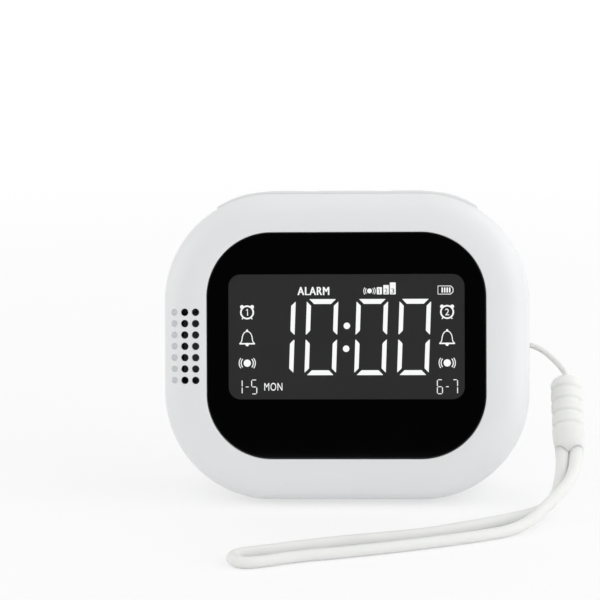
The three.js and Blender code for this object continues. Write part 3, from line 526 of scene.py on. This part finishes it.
cut(rear, prism("pocket", pocket_height, pocket_width, pocket_corner, (pocket_floor, pin_y, 0), "right", 9))
cut(rear, rod("pin_hole", pin_radius + 0.05, (pin_x, pin_y, -pin_half - 0.2), (pin_x, pin_y, pin_half + 0.2)))
strip_bed = prism("strip_bed", 2 * bed_half, bed_back - 8, 0, (0, (bed_back + 8) / 2, bed), "up", 6)
over_top(strip_bed)
cut(rear, strip_bed)
for name, place, length in keys:
    grown = flange_border + joint_gap
    window = prism(
        "window", length + 2 * grown, key_width + 2 * grown, key_corner + grown,
        (place, key_depth, -5.5), "up", 7,
    )
    over_top(window)
    cut(rear, window)
cut(rear, prism(
    "socket_slot", socket_width + 0.6, socket_height + 0.6, socket_height / 2 + 0.29,
    (socket_x, 26, socket_z), "back", 7,
))
smooth(rear, 20)
stand(rear)
fit(rear, white_case, "case", "case_white", "rear_shell")


# Strap pin
# A plain steel pin pressed into the pocket's walls, with its ends rounded over.
def steel(name, dull, bright, gloss):
    """Turned or drawn steel: fine drawn lines along one way and a slightly uneven shine."""
    material, paint, surface = finish(name, {"Metallic": 1.0})
    place = paint.node("ShaderNodeTexCoord", out=3)
    drawn = paint.node("ShaderNodeMapping", {}, {"Vector": place, "Scale": (1, 1, 0.06)})
    lines = noise(paint, drawn, 0.12, 3)
    cloud = noise(paint, place, 4)
    feed(surface, {
        "Base Color": blend(paint, lines, dull, bright),
        "Roughness": gloss + (lines - 0.5) * 0.16 + (cloud - 0.5) * 0.12,
        "Normal": paint.node(
            "ShaderNodeBump", {}, {"Strength": 0.08, "Distance": 0.05 * mm, "Height": lines},
        ),
    })
    return material


plated_steel = steel("plated_steel", (0.5, 0.51, 0.53, 1), (0.66, 0.67, 0.69, 1), 0.3)
pin = rod("pin", pin_radius, (pin_x, pin_y, -pin_half), (pin_x, pin_y, pin_half))
bpy.ops.object.mode_set(mode="EDIT")
pick(pin, "EDGE", lambda at: abs(at.z) > pin_half - 0.01 and (at.xy - Vector((pin_x, pin_y))).length > 1.5)
bpy.ops.mesh.bevel(offset=pin_round, segments=4, affect="EDGES")
bpy.ops.object.mode_set(mode="OBJECT")
smooth(pin, 40)
stand(pin)
fit(pin, plated_steel, "case", "bare_steel", "strap_pin")


# Battery, charging board and motor
# A foil pouch cell lies on the case's floor, and the charging board holds a pressed steel socket in the slot
# of the rear shell. The vibration motor sits in a rubber boot, with a heavy half-round weight on its shaft.
def dress(material, *nodes):
    """Gives a finish to pieces that keep the solid's own shape."""
    for name in nodes:
        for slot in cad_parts[name].material_slots:
            slot.material = material


pouch_foil, pouch_paint, pouch_surface = finish("pouch_foil", {"Metallic": 0.75})
pouch_place = pouch_paint.node("ShaderNodeTexCoord", out=3)
pouch_crease = noise(pouch_paint, pouch_place, 2.2, 5)
pouch_cloud = noise(pouch_paint, pouch_place, 9, 2)
feed(pouch_surface, {
    "Base Color": blend(pouch_paint, pouch_cloud, (0.36, 0.42, 0.48, 1), (0.46, 0.52, 0.57, 1)),
    "Roughness": pouch_crease * 0.25 + 0.24,
    "Normal": pouch_paint.node(
        "ShaderNodeBump", {}, {"Strength": 0.35, "Distance": 0.3 * mm, "Height": pouch_crease},
    ),
})
dress(pouch_foil, "battery_cell")

board_mask, mask_paint, mask_surface = finish("board_mask", {"IOR": 1.5})
mask_place = mask_paint.node("ShaderNodeMapping", {"vector_type": "TEXTURE"}, {
    "Vector": mask_paint.node("ShaderNodeTexCoord", out=3), "Rotation": (math.radians(90) - lean, 0, 0),
})
tracks = mask_paint.node(
    "ShaderNodeTexBrick", {"offset": 0.37, "squash": 0.6},
    {"Vector": mask_place, "Scale": 1 / (6 * mm), "Mortar Size": 0.045, "Mortar Smooth": 0.1}, out=1,
)
mask_cloud = noise(mask_paint, mask_place, 5)
feed(mask_surface, {
    "Base Color": blend(mask_paint, tracks, (0.01, 0.085, 0.032, 1), (0.03, 0.2, 0.075, 1)),
    "Roughness": mask_cloud * 0.2 + 0.25,
    "Normal": mask_paint.node(
        "ShaderNodeBump", {}, {"Strength": 0.5, "Distance": 0.04 * mm, "Height": tracks},
    ),
})
dress(board_mask, "charge_board", "main_board")

dress(plated_steel, "usb_socket", "motor_can", "motor_shaft")
black_rubber = moulded(
    "black_rubber", (0.03, 0.03, 0.031, 1), (0.02, 0.02, 0.021, 1), 0.68, 0.3, 0.25, {"IOR": 1.5},
)
dress(black_rubber, "motor_boot", "battery_lead", "motor_lead", "speaker_lead", "speaker_gasket")

sintered, sintered_paint, sintered_surface = finish("sintered_metal", {"Metallic": 1.0})
sintered_place = sintered_paint.node("ShaderNodeTexCoord", out=3)
powder = noise(sintered_paint, sintered_place, 0.15, 4)
feed(sintered_surface, {
    "Base Color": blend(sintered_paint, powder, (0.22, 0.205, 0.19, 1), (0.34, 0.315, 0.29, 1)),
    "Roughness": powder * 0.3 + 0.35,
    "Normal": sintered_paint.node(
        "ShaderNodeBump", {}, {"Strength": 0.3, "Distance": 0.06 * mm, "Height": powder},
    ),
})
dress(sintered, "eccentric_weight")


# Speaker, switches and boards
# The speaker is a pressed film cone in a black basket with a steel cup behind it. Five black tactile switches
# stand on an amber film circuit under the keys, and four small screws hold the main board.
black_resin = moulded(
    "black_resin", (0.016, 0.016, 0.017, 1), (0.01, 0.01, 0.011, 1), 0.42, 0.25, 0.15, {"IOR": 1.5},
)
cone_film = moulded(
    "cone_film", (0.17, 0.18, 0.19, 1), (0.12, 0.125, 0.135, 1), 0.6, 0.5, 0.4, {"Sheen Weight": 0.1},
)
dress(black_resin, "speaker_frame", "lcd_frame")
dress(black_resin, *("switch_" + name for name, place, length in keys))
dress(black_resin, *("plunger_" + name for name, place, length in keys))
dress(cone_film, "speaker_cone")
dress(plated_steel, "speaker_magnet")
dress(plated_steel, "board_screw_upper_left", "board_screw_upper_right")
dress(plated_steel, "board_screw_lower_left", "board_screw_lower_right")

amber_film, amber_paint, amber_surface = finish("amber_film", {"IOR": 1.6})
amber_place = amber_paint.node("ShaderNodeTexCoord", out=3)
copper_lines = amber_paint.node(
    "ShaderNodeTexWave", {"bands_direction": "Y", "wave_profile": "SIN"},
    {"Vector": amber_place, "Scale": 1 / (4 * mm), "Distortion": 0.0}, out=1,
)
copper = amber_paint.math("GREATER_THAN", copper_lines, 0.62)
feed(amber_surface, {
    "Base Color": blend(amber_paint, copper, (0.46, 0.19, 0.023, 1), (0.56, 0.27, 0.07, 1)),
    "Roughness": copper * -0.08 + 0.34,
    "Normal": amber_paint.node(
        "ShaderNodeBump", {}, {"Strength": 0.4, "Distance": 0.03 * mm, "Height": copper},
    ),
})
dress(amber_film, "key_flex")


# Display
# A dark liquid crystal panel in a black tray, with a milky light guide behind it. The figures and signs are
# clear openings in its dark film, so they stand out white in the light from behind.
signs_front = 2.05
signs_depth = 0.12
signs_middle = signs_front + signs_depth / 2
figure_width = 7.75
figure_height = 18.7
figure_bar = 1.06
figure_cap = 1.2
figure_gap = 0.86
figure_round = 0.26
figure_slant = 0.036
figure_level = 2.45
zero_places = (-6.13, 6.1, 16.64)
one_place = -16.63
colon_radius = 0.8
level_foot = 12.92
number_low, number_high = 13.15, 14.35
buzz_place = (5.72, 13.77)
clock_level = 8.57
dot_level = -3.93

milky_guide = moulded(
    "milky_guide", (0.75, 0.79, 0.82, 1), (0.7, 0.74, 0.775, 1), 0.35, 0.4, 0.1, {"IOR": 1.49},
)
dress(milky_guide, "backlight_panel")

dark_panel, panel_paint, panel_surface = finish(
    "dark_panel", {"Emission Strength": 1.0, "Specular IOR Level": 0.25},
)
panel_place = panel_paint.node("ShaderNodeTexCoord", out=3)
panel_cloud = noise(panel_paint, panel_place, 16, 2)
panel_grain = noise(panel_paint, panel_place, 0.2, 1)
feed(panel_surface, {
    "Base Color": blend(panel_paint, panel_grain, (0.002, 0.002, 0.002, 1), (0.004, 0.004, 0.004, 1)),
    "Roughness": panel_grain * 0.04 + 0.05,
    "Emission Color": blend(panel_paint, panel_cloud, (0.026, 0.026, 0.0262, 1), (0.031, 0.031, 0.0312, 1)),
})
dress(dark_panel, "lcd_panel")

lit_white, lit_paint, lit_surface = finish(
    "lit_white", {"Emission Strength": 1.08, "Specular IOR Level": 0.0},
)
lit_place = lit_paint.node("ShaderNodeTexCoord", out=3)
lit_cloud = noise(lit_paint, lit_place, 12, 2)
feed(lit_surface, {
    "Base Color": blend(lit_paint, lit_cloud, (0.02, 0.02, 0.02, 1), (0.03, 0.03, 0.03, 1)),
    "Emission Color": blend(lit_paint, lit_cloud, (0.93, 0.94, 0.95, 1), (1, 1, 1, 1)),
})


def sign_block(name, width, height, corner, x, z, steps=6):
    return prism(name, width, height, corner, (x, signs_front + signs_depth, z), "front", signs_depth, steps)


def sign_disc(radius, x, z):
    return rod("disc", radius, (x, signs_front, z), (x, signs_front + signs_depth, z), 40)


def stroke(points, width, closed=False):
    """A thin line of the film along points on the face."""
    curve = bpy.data.curves.new("stroke", "CURVE")
    curve.dimensions = "3D"
    curve.bevel_depth = width / 2
    curve.bevel_resolution = 1
    curve.use_fill_caps = True
    spline = curve.splines.new("POLY")
    spline.points.add(len(points) - 1)
    spline.use_cyclic_u = closed
    for point, (x, z) in zip(spline.points, points):
        point.co = (x, signs_middle, z, 1)
    line = bpy.data.objects.new("stroke", curve)
    bpy.context.scene.collection.objects.link(line)
    alone(line)
    bpy.ops.object.convert(target="MESH")
    return bpy.context.active_object


def arc(x, z, radius, start, end, steps=12):
    angles = [math.radians(start + (end - start) * i / steps) for i in range(steps + 1)]
    return [(x + radius * math.cos(a), z + radius * math.sin(a)) for a in angles]


def figure_one(middle, low, high, width):
    flag = 0.22 * (high - low)
    return stroke([(middle - flag, high - 0.8 * flag), (middle, high - 0.05), (middle, low)], width)


def word(body, left, right, low, high, spacing=1.0, depth=signs_depth):
    """A word of the film, stretched to fill the box that it stands in."""
    bpy.ops.object.select_all(action="DESELECT")
    bpy.ops.object.text_add(rotation=(math.radians(90), 0, 0))
    letters = bpy.context.active_object
    letters.data.body = body
    letters.data.extrude = 0.02
    letters.data.space_character = spacing
    bpy.ops.object.convert(target="MESH")
    letters = bpy.context.active_object
    bpy.ops.object.transform_apply(location=True, rotation=True, scale=True)
    bpy.ops.object.mode_set(mode="EDIT")
    bpy.ops.mesh.select_all(action="SELECT")
    bpy.ops.mesh.remove_doubles(threshold=0.0001)
    face_out()
    across = [corner.co.x for corner in letters.data.vertices]
    up = [corner.co.z for corner in letters.data.vertices]
    wide = (right - left) / (max(across) - min(across))
    tall = (high - low) / (max(up) - min(up))
    letters.scale = (wide, depth / 0.04, tall)
    letters.location = (left - min(across) * wide, signs_middle, low - min(up) * tall)
    bpy.ops.object.transform_apply(location=True, rotation=True, scale=True)
    return letters


def join(name, pieces):
    alone(pieces[0])
    for piece in pieces:
        piece.select_set(True)
    bpy.ops.object.join()
    pieces[0].name = name
    return pieces[0]


# One figure with all its bars but the middle one, parted by slanting gaps.
figure = sign_block("figure", figure_width, figure_height, 0.9, 0, 0)
cut(figure, prism(
    "middle", figure_width - 2 * figure_bar, figure_height - 2 * figure_cap, 0.25, (0, 3, 0), "front", 2,
))
cut(figure, prism("waist", figure_width + 1, 5, 2.49, (0, 3, 0), "front", 2, 1))
for side in (-1, 1):
    for end in (-1, 1):
        corner_x = side * figure_width / 2
        corner_z = end * figure_height / 2
        cut(figure, rod(
            "mitre", figure_gap / 2, (corner_x + side, signs_middle, corner_z + end),
            (corner_x - 2 * side, signs_middle, corner_z - 2 * end), 16,
        ))
alone(figure)
bpy.ops.object.mode_set(mode="EDIT")
bpy.ops.mesh.select_all(action="SELECT")
bpy.ops.mesh.separate(type="LOOSE")
bpy.ops.object.mode_set(mode="OBJECT")
bars = list(bpy.context.selected_objects)
for bar in bars:
    alone(bar)
    bpy.ops.object.mode_set(mode="EDIT")
    pick(bar, "EDGE", lambda at: abs(at.y - signs_middle) < 0.01)
    bpy.ops.mesh.bevel(offset=figure_round, segments=4, affect="EDGES")
    bpy.ops.object.mode_set(mode="OBJECT")


def bar_side(bar):
    return sum(corner.co.x for corner in bar.data.vertices) / len(bar.data.vertices)


right_bars = [bar for bar in bars if bar_side(bar) > figure_width / 4]
lit_bars = []
for place, chosen in ((one_place, right_bars), *((place, bars) for place in zero_places)):
    for bar in chosen:
        lit_bar = bar.copy()
        lit_bar.data = bar.data.copy()
        bpy.context.scene.collection.objects.link(lit_bar)
        for corner in lit_bar.data.vertices:
            corner.co.x += place + figure_slant * corner.co.z
            corner.co.z += figure_level
        lit_bars.append(lit_bar)
for bar in bars:
    bpy.data.objects.remove(bar)
lit_bars.append(sign_disc(colon_radius, 0.13, 5.22))
lit_bars.append(sign_disc(colon_radius, -0.06, -0.41))
figures = join("figures", lit_bars)
stand(figures)
fit(figures, lit_white, "case", "display_glass")

# Small words, the level bars with their numbers, and the battery sign along the top.
signs = [word("MON", -20.23, -15.79, -10.7, -8.79, 1.1)]
for nudge in (0, 0.14):
    signs.append(word("ALARM", -11.98 + nudge, -4.29 + nudge, 12.8, 14.79, 1.12))
levels = (("1", 7.5, 8.77, 14.7), ("2", 9.11, 10.46, 15.21), ("3", 10.71, 12.15, 15.84))
for number, left, right, top in levels:
    middle = (left + right) / 2
    level_bar = sign_block("level", right - left, top - level_foot, 0.15, middle, (top + level_foot) / 2)
    if number == "1":
        cut(level_bar, figure_one(middle, number_low, number_high, 0.26))
    else:
        cut(level_bar, word(number, middle - 0.38, middle + 0.38, number_low, number_high, depth=1))
    signs.append(level_bar)
signs.append(sign_disc(0.59, *buzz_place))
for side in (0, 180):
    signs.append(stroke(arc(*buzz_place, 1.0, side - 40, side + 40), 0.2))
    signs.append(stroke(arc(*buzz_place, 1.42, side - 36, side + 36), 0.2))
battery = [(22.5, 12.95), (25.6, 12.95), (26.2, 13.5), (26.2, 14.4), (25.6, 14.95), (22.5, 14.95)]
signs.append(stroke(battery, 0.22, True))
for column in range(4):
    signs.append(sign_block("charge", 0.36, 1.25, 0.08, 23.55 + 0.61 * column, 13.95, 3))

# The two columns at the sides: a clock, a bell and a buzzing dot for each alarm, and its days below.
for middle, number in ((-24.42, "1"), (24.73, "2")):
    clock = sign_disc(1.72, middle, clock_level)
    cut(clock, rod("clock_inside", 1.34, (middle, 1, clock_level), (middle, 3, clock_level), 40))
    signs.append(clock)
    if number == "1":
        signs.append(figure_one(middle + 0.12, 7.77, 9.37, 0.28))
    else:
        signs.append(word(number, middle - 0.5, middle + 0.5, 7.77, 9.37))
    for side in (-1, 1):
        signs.append(sign_disc(0.46, middle + 1.25 * side, 9.92))
        signs.append(stroke([(middle + 1.0 * side, 7.22), (middle + 1.25 * side, 6.88)], 0.28))
    outline = [(1.75, 1.0), (1.4, 1.35), (1.28, 1.9), (1.2, 2.55), (1.0, 3.15), (0.7, 3.58), (0.3, 3.85)]
    left_side = [(middle - x, z) for x, z in outline]
    right_side = [(middle + x, z) for x, z in reversed(outline)]
    signs.append(stroke(left_side + right_side, 0.26))
    signs.append(sign_disc(0.26, middle, 4.1))
    signs.append(sign_block("bell_foot", 3.9, 0.34, 0.14, middle, 0.86, 3))
    signs.append(sign_disc(0.42, middle, 0.66))
    signs.append(sign_disc(0.89, middle, dot_level))
    for side in (0, 180):
        signs.append(stroke(arc(middle, dot_level, 1.5, side - 42, side + 42), 0.26))
        signs.append(stroke(arc(middle, dot_level, 2.0, side - 38, side + 38), 0.24))

# Days from first to last in thin bars, each figure drawn from the seven bars of a small figure.
day_low, day_middle, day_high = -11.5, -9.78, -8.06
day_break = 0.16
thin_bars = {
    "top": ((0, day_high), (1, day_high)),
    "middle": ((0, day_middle), (1, day_middle)),
    "bottom": ((0, day_low), (1, day_low)),
    "upper_left": ((0, day_middle), (0, day_high)),
    "upper_right": ((1, day_middle), (1, day_high)),
    "lower_left": ((0, day_low), (0, day_middle)),
    "lower_right": ((1, day_low), (1, day_middle)),
}
one_bars = ("upper_right", "lower_right")
five_bars = ("top", "upper_left", "middle", "lower_right", "bottom")
six_bars = ("top", "upper_left", "middle", "lower_left", "lower_right", "bottom")
seven_bars = ("top", "upper_right", "lower_right")
for left, right, chosen in (
    (-26.9, -25.7, one_bars), (-24.95, -23.95, ("middle",)), (-23.35, -22.1, five_bars),
    (22.3, 23.55, six_bars), (24.25, 25.25, ("middle",)), (26.05, 27.25, seven_bars),
):
    for name in chosen:
        start, end = (Vector((left + (right - left) * x, z)) for x, z in thin_bars[name])
        step = (end - start).normalized() * day_break
        signs.append(stroke([tuple(start + step), tuple(end - step)], 0.22))
small_signs = join("small_signs", signs)
stand(small_signs)
fit(small_signs, lit_white, "case", "display_glass")


# Front shell
# The white front half of the case, moulded in the same satin ABS: a crowned pillow face with a pocket for the
# lens, a ledge that the lens is glued to, and a speaker grille with two columns of holes and one of dimples.
crown_inset = 9.4
crown_depth = 5.2
crown_end = 86.9
front_wall = 1.5
lens_width = 68.4
lens_height = 55.5
lens_corner = 15.9
lens_rise = 0.4
lens_front = 0.15
lens_back = 1.95
lens_gap = 0.1
ledge_front = lens_back + joint_gap
panel_width = 60.2
panel_height = 33
panel_corner = 3
panel_rise = 2.5
grille_hole = 1.86
grille_rise = 0.3
dimple_width = 1.6
grille_pitch = 2.79
grille_rows = 7
grille_columns = (-39.69, -37.0)
dimple_column = -42.3
dimple_floor = 2.3

front = plate("front_half", case_width, case_height, case_corner, (0, front_depth, 0), "front")
draw_out(y=crown_depth - front_depth)
round_over(crown_inset, crown_depth, crown_end, 30)
bpy.ops.mesh.delete(type="ONLY_FACE")
bpy.ops.object.mode_set(mode="OBJECT")
rim = plate(
    "lens_rim", lens_width + 2 * lens_gap, lens_height + 2 * lens_gap, lens_corner + lens_gap,
    (0, 0, lens_rise), "front",
)
bpy.ops.mesh.delete(type="ONLY_FACE")
bpy.ops.object.mode_set(mode="OBJECT")
alone(front)
rim.select_set(True)
bpy.ops.object.join()
bpy.ops.object.mode_set(mode="EDIT")
pick(front, "EDGE", lambda at: at.y < 0.01)
bpy.ops.mesh.bridge_edge_loops()
pick(front, "EDGE", lambda at: at.y < 0.003)
draw_out(y=ledge_front)
bpy.ops.mesh.edge_face_add()
pick(front, "EDGE", lambda at: at.y < 0.003)
bpy.ops.mesh.bevel(offset=0.22, segments=4, affect="EDGES")
face_out()
shape_with(front, "SOLIDIFY", thickness=front_wall, offset=-1, use_even_offset=True)
cut(front, prism(
    "panel_opening", panel_width + 2 * joint_gap, panel_height + 2 * joint_gap, panel_corner + joint_gap,
    (0, 6, panel_rise), "front", 5,
))
first_row = grille_rise - grille_pitch * (grille_rows - 1) / 2
drills = [(dimple_column, dimple_width, dimple_floor)]
drills += [(column, grille_hole, front_depth - 1) for column in grille_columns]
for column, width, floor in drills:
    drill = rod("drill", width / 2, (column, -2, first_row), (column, floor, first_row), 32)
    shape_with(
        drill, "ARRAY", count=grille_rows, use_relative_offset=False, use_constant_offset=True,
        constant_offset_displace=(0, 0, grille_pitch),
    )
    cut(front, drill)
smooth(front, 20)
stand(front)
fit(front, white_case, "case", "case_white", "front_shell")


# Lens
# One flat acrylic plate glued into the front, polished outside and printed black. A clear window with round
# corners is left in the print for the display.
window_width = 58.0
window_height = 30.75
window_corner = 3.0
window_rise = 2.53
window_tint = 0.05
lens_round = 0.3

lens_black, lens_paint, lens_surface = finish("lens_black", {"Specular IOR Level": 0.25, "IOR": 1.49})


def face_place(paint):
    """Across and height on the upright face, in metres, from the leaned piece's own place."""
    place = paint.node("ShaderNodeMapping", {"vector_type": "TEXTURE"}, {
        "Vector": paint.node("ShaderNodeTexCoord", out=3),
        "Location": tuple(case_shift),
        "Rotation": (-lean, 0, 0),
    })
    split = paint.node("ShaderNodeSeparateXYZ", {}, {"Vector": place}).socket.node
    return Shade(paint.tree, split.outputs["X"]), Shade(paint.tree, split.outputs["Z"])


def inside_round(paint, across, up, width, height, corner, rise):
    """1 inside a rectangle with round corners on the face, 0 outside it."""
    over_x = paint.math("ABSOLUTE", across) - (width / 2 - corner) * mm
    over_z = paint.math("ABSOLUTE", up - rise * mm) - (height / 2 - corner) * mm
    reach_x = paint.math("MAXIMUM", over_x, 0.0)
    reach_z = paint.math("MAXIMUM", over_z, 0.0)
    reach = paint.math("SQRT", reach_x * reach_x + reach_z * reach_z)
    return paint.math("LESS_THAN", reach, corner * mm)


lens_x, lens_z = face_place(lens_paint)
window = inside_round(lens_paint, lens_x, lens_z, window_width, window_height, window_corner, window_rise)
haze = noise(lens_paint, lens_paint.node("ShaderNodeTexCoord", out=3), 9, 3)
feed(lens_surface, {
    "Base Color": blend(lens_paint, haze, (0.0009, 0.0009, 0.001, 1), (0.0016, 0.0016, 0.0018, 1)),
    "Roughness": haze * 0.03 + 0.045,
    "Alpha": 1 - window * (1 - window_tint),
})

lens = plate("lens", lens_width, lens_height, lens_corner, (0, lens_back, lens_rise), "front")
draw_out(y=lens_front + lens_round - lens_back)
round_over(lens_round, lens_round, steps=6)
close_open_side()
face_out()
smooth(lens, 30)
stand(lens)
fit(lens, lens_black, "case", "lens_black", "front_lens")


# Key strip and keys
# A matt white rubber-touch band lies in the bed over the top edge, with five slots. In each slot sits a key
# cap with a flange that the band holds down and a stem that reaches its switch.
strip_top = 0.8
strip_corner = 0.8
strip_round = 0.75
key_top = strip_top + 0.15
key_round = 0.4
flange_thickness = 0.8
flange_top = strip_bottom - joint_gap
flange_bottom = flange_top - flange_thickness
stem_radius = 1.6
stem_end = flange_bottom - 1.95

matt_white = moulded(
    "matt_white", (0.8, 0.81, 0.815, 1), (0.775, 0.783, 0.79, 1), 0.52, 0.18, 0.1, {"IOR": 1.46},
)
strip = plate("strip", 2 * strip_half, strip_width, strip_corner, (0, key_depth, strip_bottom), "up", 6)
draw_out(z=strip_top - strip_round - strip_bottom)
round_over(strip_round, strip_round, steps=8)
close_open_side()
face_out()
for name, place, length in keys:
    cut(strip, prism(
        "slot", length + 2 * joint_gap, key_width + 2 * joint_gap, key_corner + joint_gap,
        (place, key_depth, strip_bottom - 1), "up", 4,
    ))
over_top(strip)
smooth(strip, 25)
stand(strip)
fit(strip, matt_white, "case", "key_white", "key_strip")

for name, place, length in keys:
    cap = plate(
        "cap_" + name, length + 2 * flange_border, key_width + 2 * flange_border, key_corner + flange_border,
        (place, key_depth, flange_bottom), "up", 12,
    )
    draw_out(z=flange_thickness)
    bpy.ops.mesh.inset(thickness=flange_border, depth=0)
    draw_out(z=key_top - key_round - flange_top)
    round_over(key_round, key_round, steps=7)
    close_open_side()
    face_out()
    stem_top = flange_bottom + 0.3
    cut(cap, rod("stem", stem_radius, (place, key_depth, stem_end), (place, key_depth, stem_top)), "UNION")
    over_top(cap)
    smooth(cap, 25)
    stand(cap)
    fit(cap, matt_white, name + "_key", "key_white", "key_" + name)


# Case screws
# Four steel pan-head screws at the bottom of the wells, with a cross slot in each head. They pull the two
# halves of the case together.
screw_head = 2.25
screw_head_front = screw_seat + joint_gap
screw_head_back = screw_head_front + 2
screw_shank = 1.25
screw_tip = 16
cross_width = 0.75
cross_reach = 1.45
cross_depth = 1.1
screw_round = 0.7

dark_steel = steel("zinc_steel", (0.36, 0.37, 0.38, 1), (0.52, 0.53, 0.55, 1), 0.34)
first_screw = rod("screw", screw_head, (0, screw_head_front, 0), (0, screw_head_back, 0))
bpy.ops.object.mode_set(mode="EDIT")
pick(first_screw, "EDGE", lambda at: at.y > screw_head_back - 0.01 and at.xz.length > screw_head - 0.1)
bpy.ops.mesh.bevel(offset=screw_round, segments=6, affect="EDGES")
bpy.ops.object.mode_set(mode="OBJECT")
for wide, high in ((cross_reach, cross_width / 2), (cross_width / 2, cross_reach)):
    cut(first_screw, prism(
        "cross", 2 * wide, 2 * high, 0.12, (0, screw_head_back - cross_depth, 0), "back", 3, 3,
    ))
cut(first_screw, rod("shank", screw_shank, (0, screw_tip, 0), (0, screw_head_front + 0.2, 0)), "UNION")
smooth(first_screw, 30)
corners = ("upper_left", "upper_right", "lower_left", "lower_right")
for corner, (x, z) in zip(corners, screw_places):
    screw = first_screw.copy()
    screw.data = first_screw.data.copy()
    screw.name = "screw_" + corner
    bpy.context.scene.collection.objects.link(screw)
    alone(screw)
    screw.location = (x, 0, z)
    bpy.ops.object.transform_apply(location=True, rotation=True, scale=True)
    stand(screw)
    fit(screw, dark_steel, "case", "bare_steel", "case_screw_" + corner)
bpy.data.objects.remove(first_screw)
bpy.data.objects.remove(edge_path)


# Floor and light
# A white studio table under soft light from both sides and above, with the least from the camera's side.
white_floor = bpy.data.materials.new("white_floor")
white_floor.use_nodes = True
floor_paint = Shade(white_floor.node_tree)
floor_surface = white_floor.node_tree.nodes["Principled BSDF"]
floor_surface.inputs["Base Color"].default_value = (0.94, 0.94, 0.945, 1)
floor_surface.inputs["Roughness"].default_value = 0.9
floor_surface.inputs["Specular IOR Level"].default_value = 0.1
floor_share = 0.62


def seen_directly(paint):
    """1 for what the camera sees, straight, in a reflection or through glass."""
    rays = paint.node("ShaderNodeLightPath").socket.node.outputs
    seen = Shade(paint.tree, rays["Is Camera Ray"]) + Shade(paint.tree, rays["Is Glossy Ray"])
    return paint.math("MINIMUM", seen + Shade(paint.tree, rays["Is Transmission Ray"]), 1.0)


# The floor's own light and shadow near the object give way to plain white further off.
fade_start = 0.12
fade_end = 0.7
floor_place = floor_paint.node("ShaderNodeTexCoord", out=3)
floor_reach = floor_paint.node("ShaderNodeVectorMath", {"operation": "LENGTH"}, {0: floor_place}, out=1)
floor_far = floor_paint.node("ShaderNodeMapRange", {"interpolation_type": "SMOOTHSTEP"}, {
    "Value": floor_reach, "From Min": fade_start, "From Max": fade_end, "To Min": floor_share, "To Max": 1.0,
})
floor_glow = floor_paint.node("ShaderNodeEmission", {}, {"Color": (1, 1, 1, 1), "Strength": 1.04})
floor_mix = floor_paint.node("ShaderNodeMixShader", {}, {
    0: seen_directly(floor_paint) * floor_far,
    1: Shade(white_floor.node_tree, floor_surface.outputs[0]),
    2: floor_glow,
})
white_floor.node_tree.links.new(
    floor_mix.socket, white_floor.node_tree.nodes["Material Output"].inputs["Surface"],
)
bpy.ops.object.select_all(action="DESELECT")
bpy.ops.mesh.primitive_plane_add(size=6, location=(0, 0, 0))
floor = bpy.context.active_object
floor.name = "floor"
floor.data.materials.append(white_floor)

sky_light = 0.72
world = bpy.data.worlds.new("studio")
bpy.context.scene.world = world
world.use_nodes = True
sky = world.node_tree.nodes["Background"]
sky.inputs["Color"].default_value = (1, 1, 1, 1)
sky_paint = Shade(world.node_tree)
sky_rays = sky_paint.node("ShaderNodeLightPath").socket.node.outputs
sky_mirrored = Shade(world.node_tree, sky_rays["Is Glossy Ray"])
sky_way = sky_paint.node("ShaderNodeSeparateXYZ", {}, {"Vector": sky_paint.node("ShaderNodeTexCoord")})
sky_ahead = Shade(world.node_tree, sky_way.socket.node.outputs[1])
dark_room = sky_paint.node(
    "ShaderNodeMapRange", {"interpolation_type": "SMOOTHSTEP"},
    {"Value": sky_ahead, "From Min": -0.9, "From Max": -0.05, "To Min": 1.0, "To Max": 0.0},
)
sky_seen = seen_directly(sky_paint) - sky_mirrored * dark_room * 0.99
sky_strength = sky_seen * (1 - sky_light) + sky_light * (1 - sky_mirrored * dark_room)
world.node_tree.links.new(sky_strength.socket, sky.inputs["Strength"])


def soft_lamp(name, place, aim, size, power):
    lamp_data = bpy.data.lights.new(name, "AREA")
    lamp_data.size = size
    lamp_data.energy = power
    lamp = bpy.data.objects.new(name, lamp_data)
    bpy.context.scene.collection.objects.link(lamp)
    lamp.location = place
    lamp.rotation_euler = (Vector(aim) - Vector(place)).to_track_quat("-Z", "Y").to_euler()


soft_lamp("right_lamp", (0.85, -0.5, 0.3), (0, 0, 0.04), 0.7, 2.4)
soft_lamp("left_lamp", (-0.9, -0.25, 0.4), (0, 0, 0.04), 0.7, 1.5)
soft_lamp("upper_lamp", (0.7, 0.1, 0.75), (0, 0, 0.04), 0.7, 1.6)

bpy.context.scene.view_settings.view_transform = "Standard"
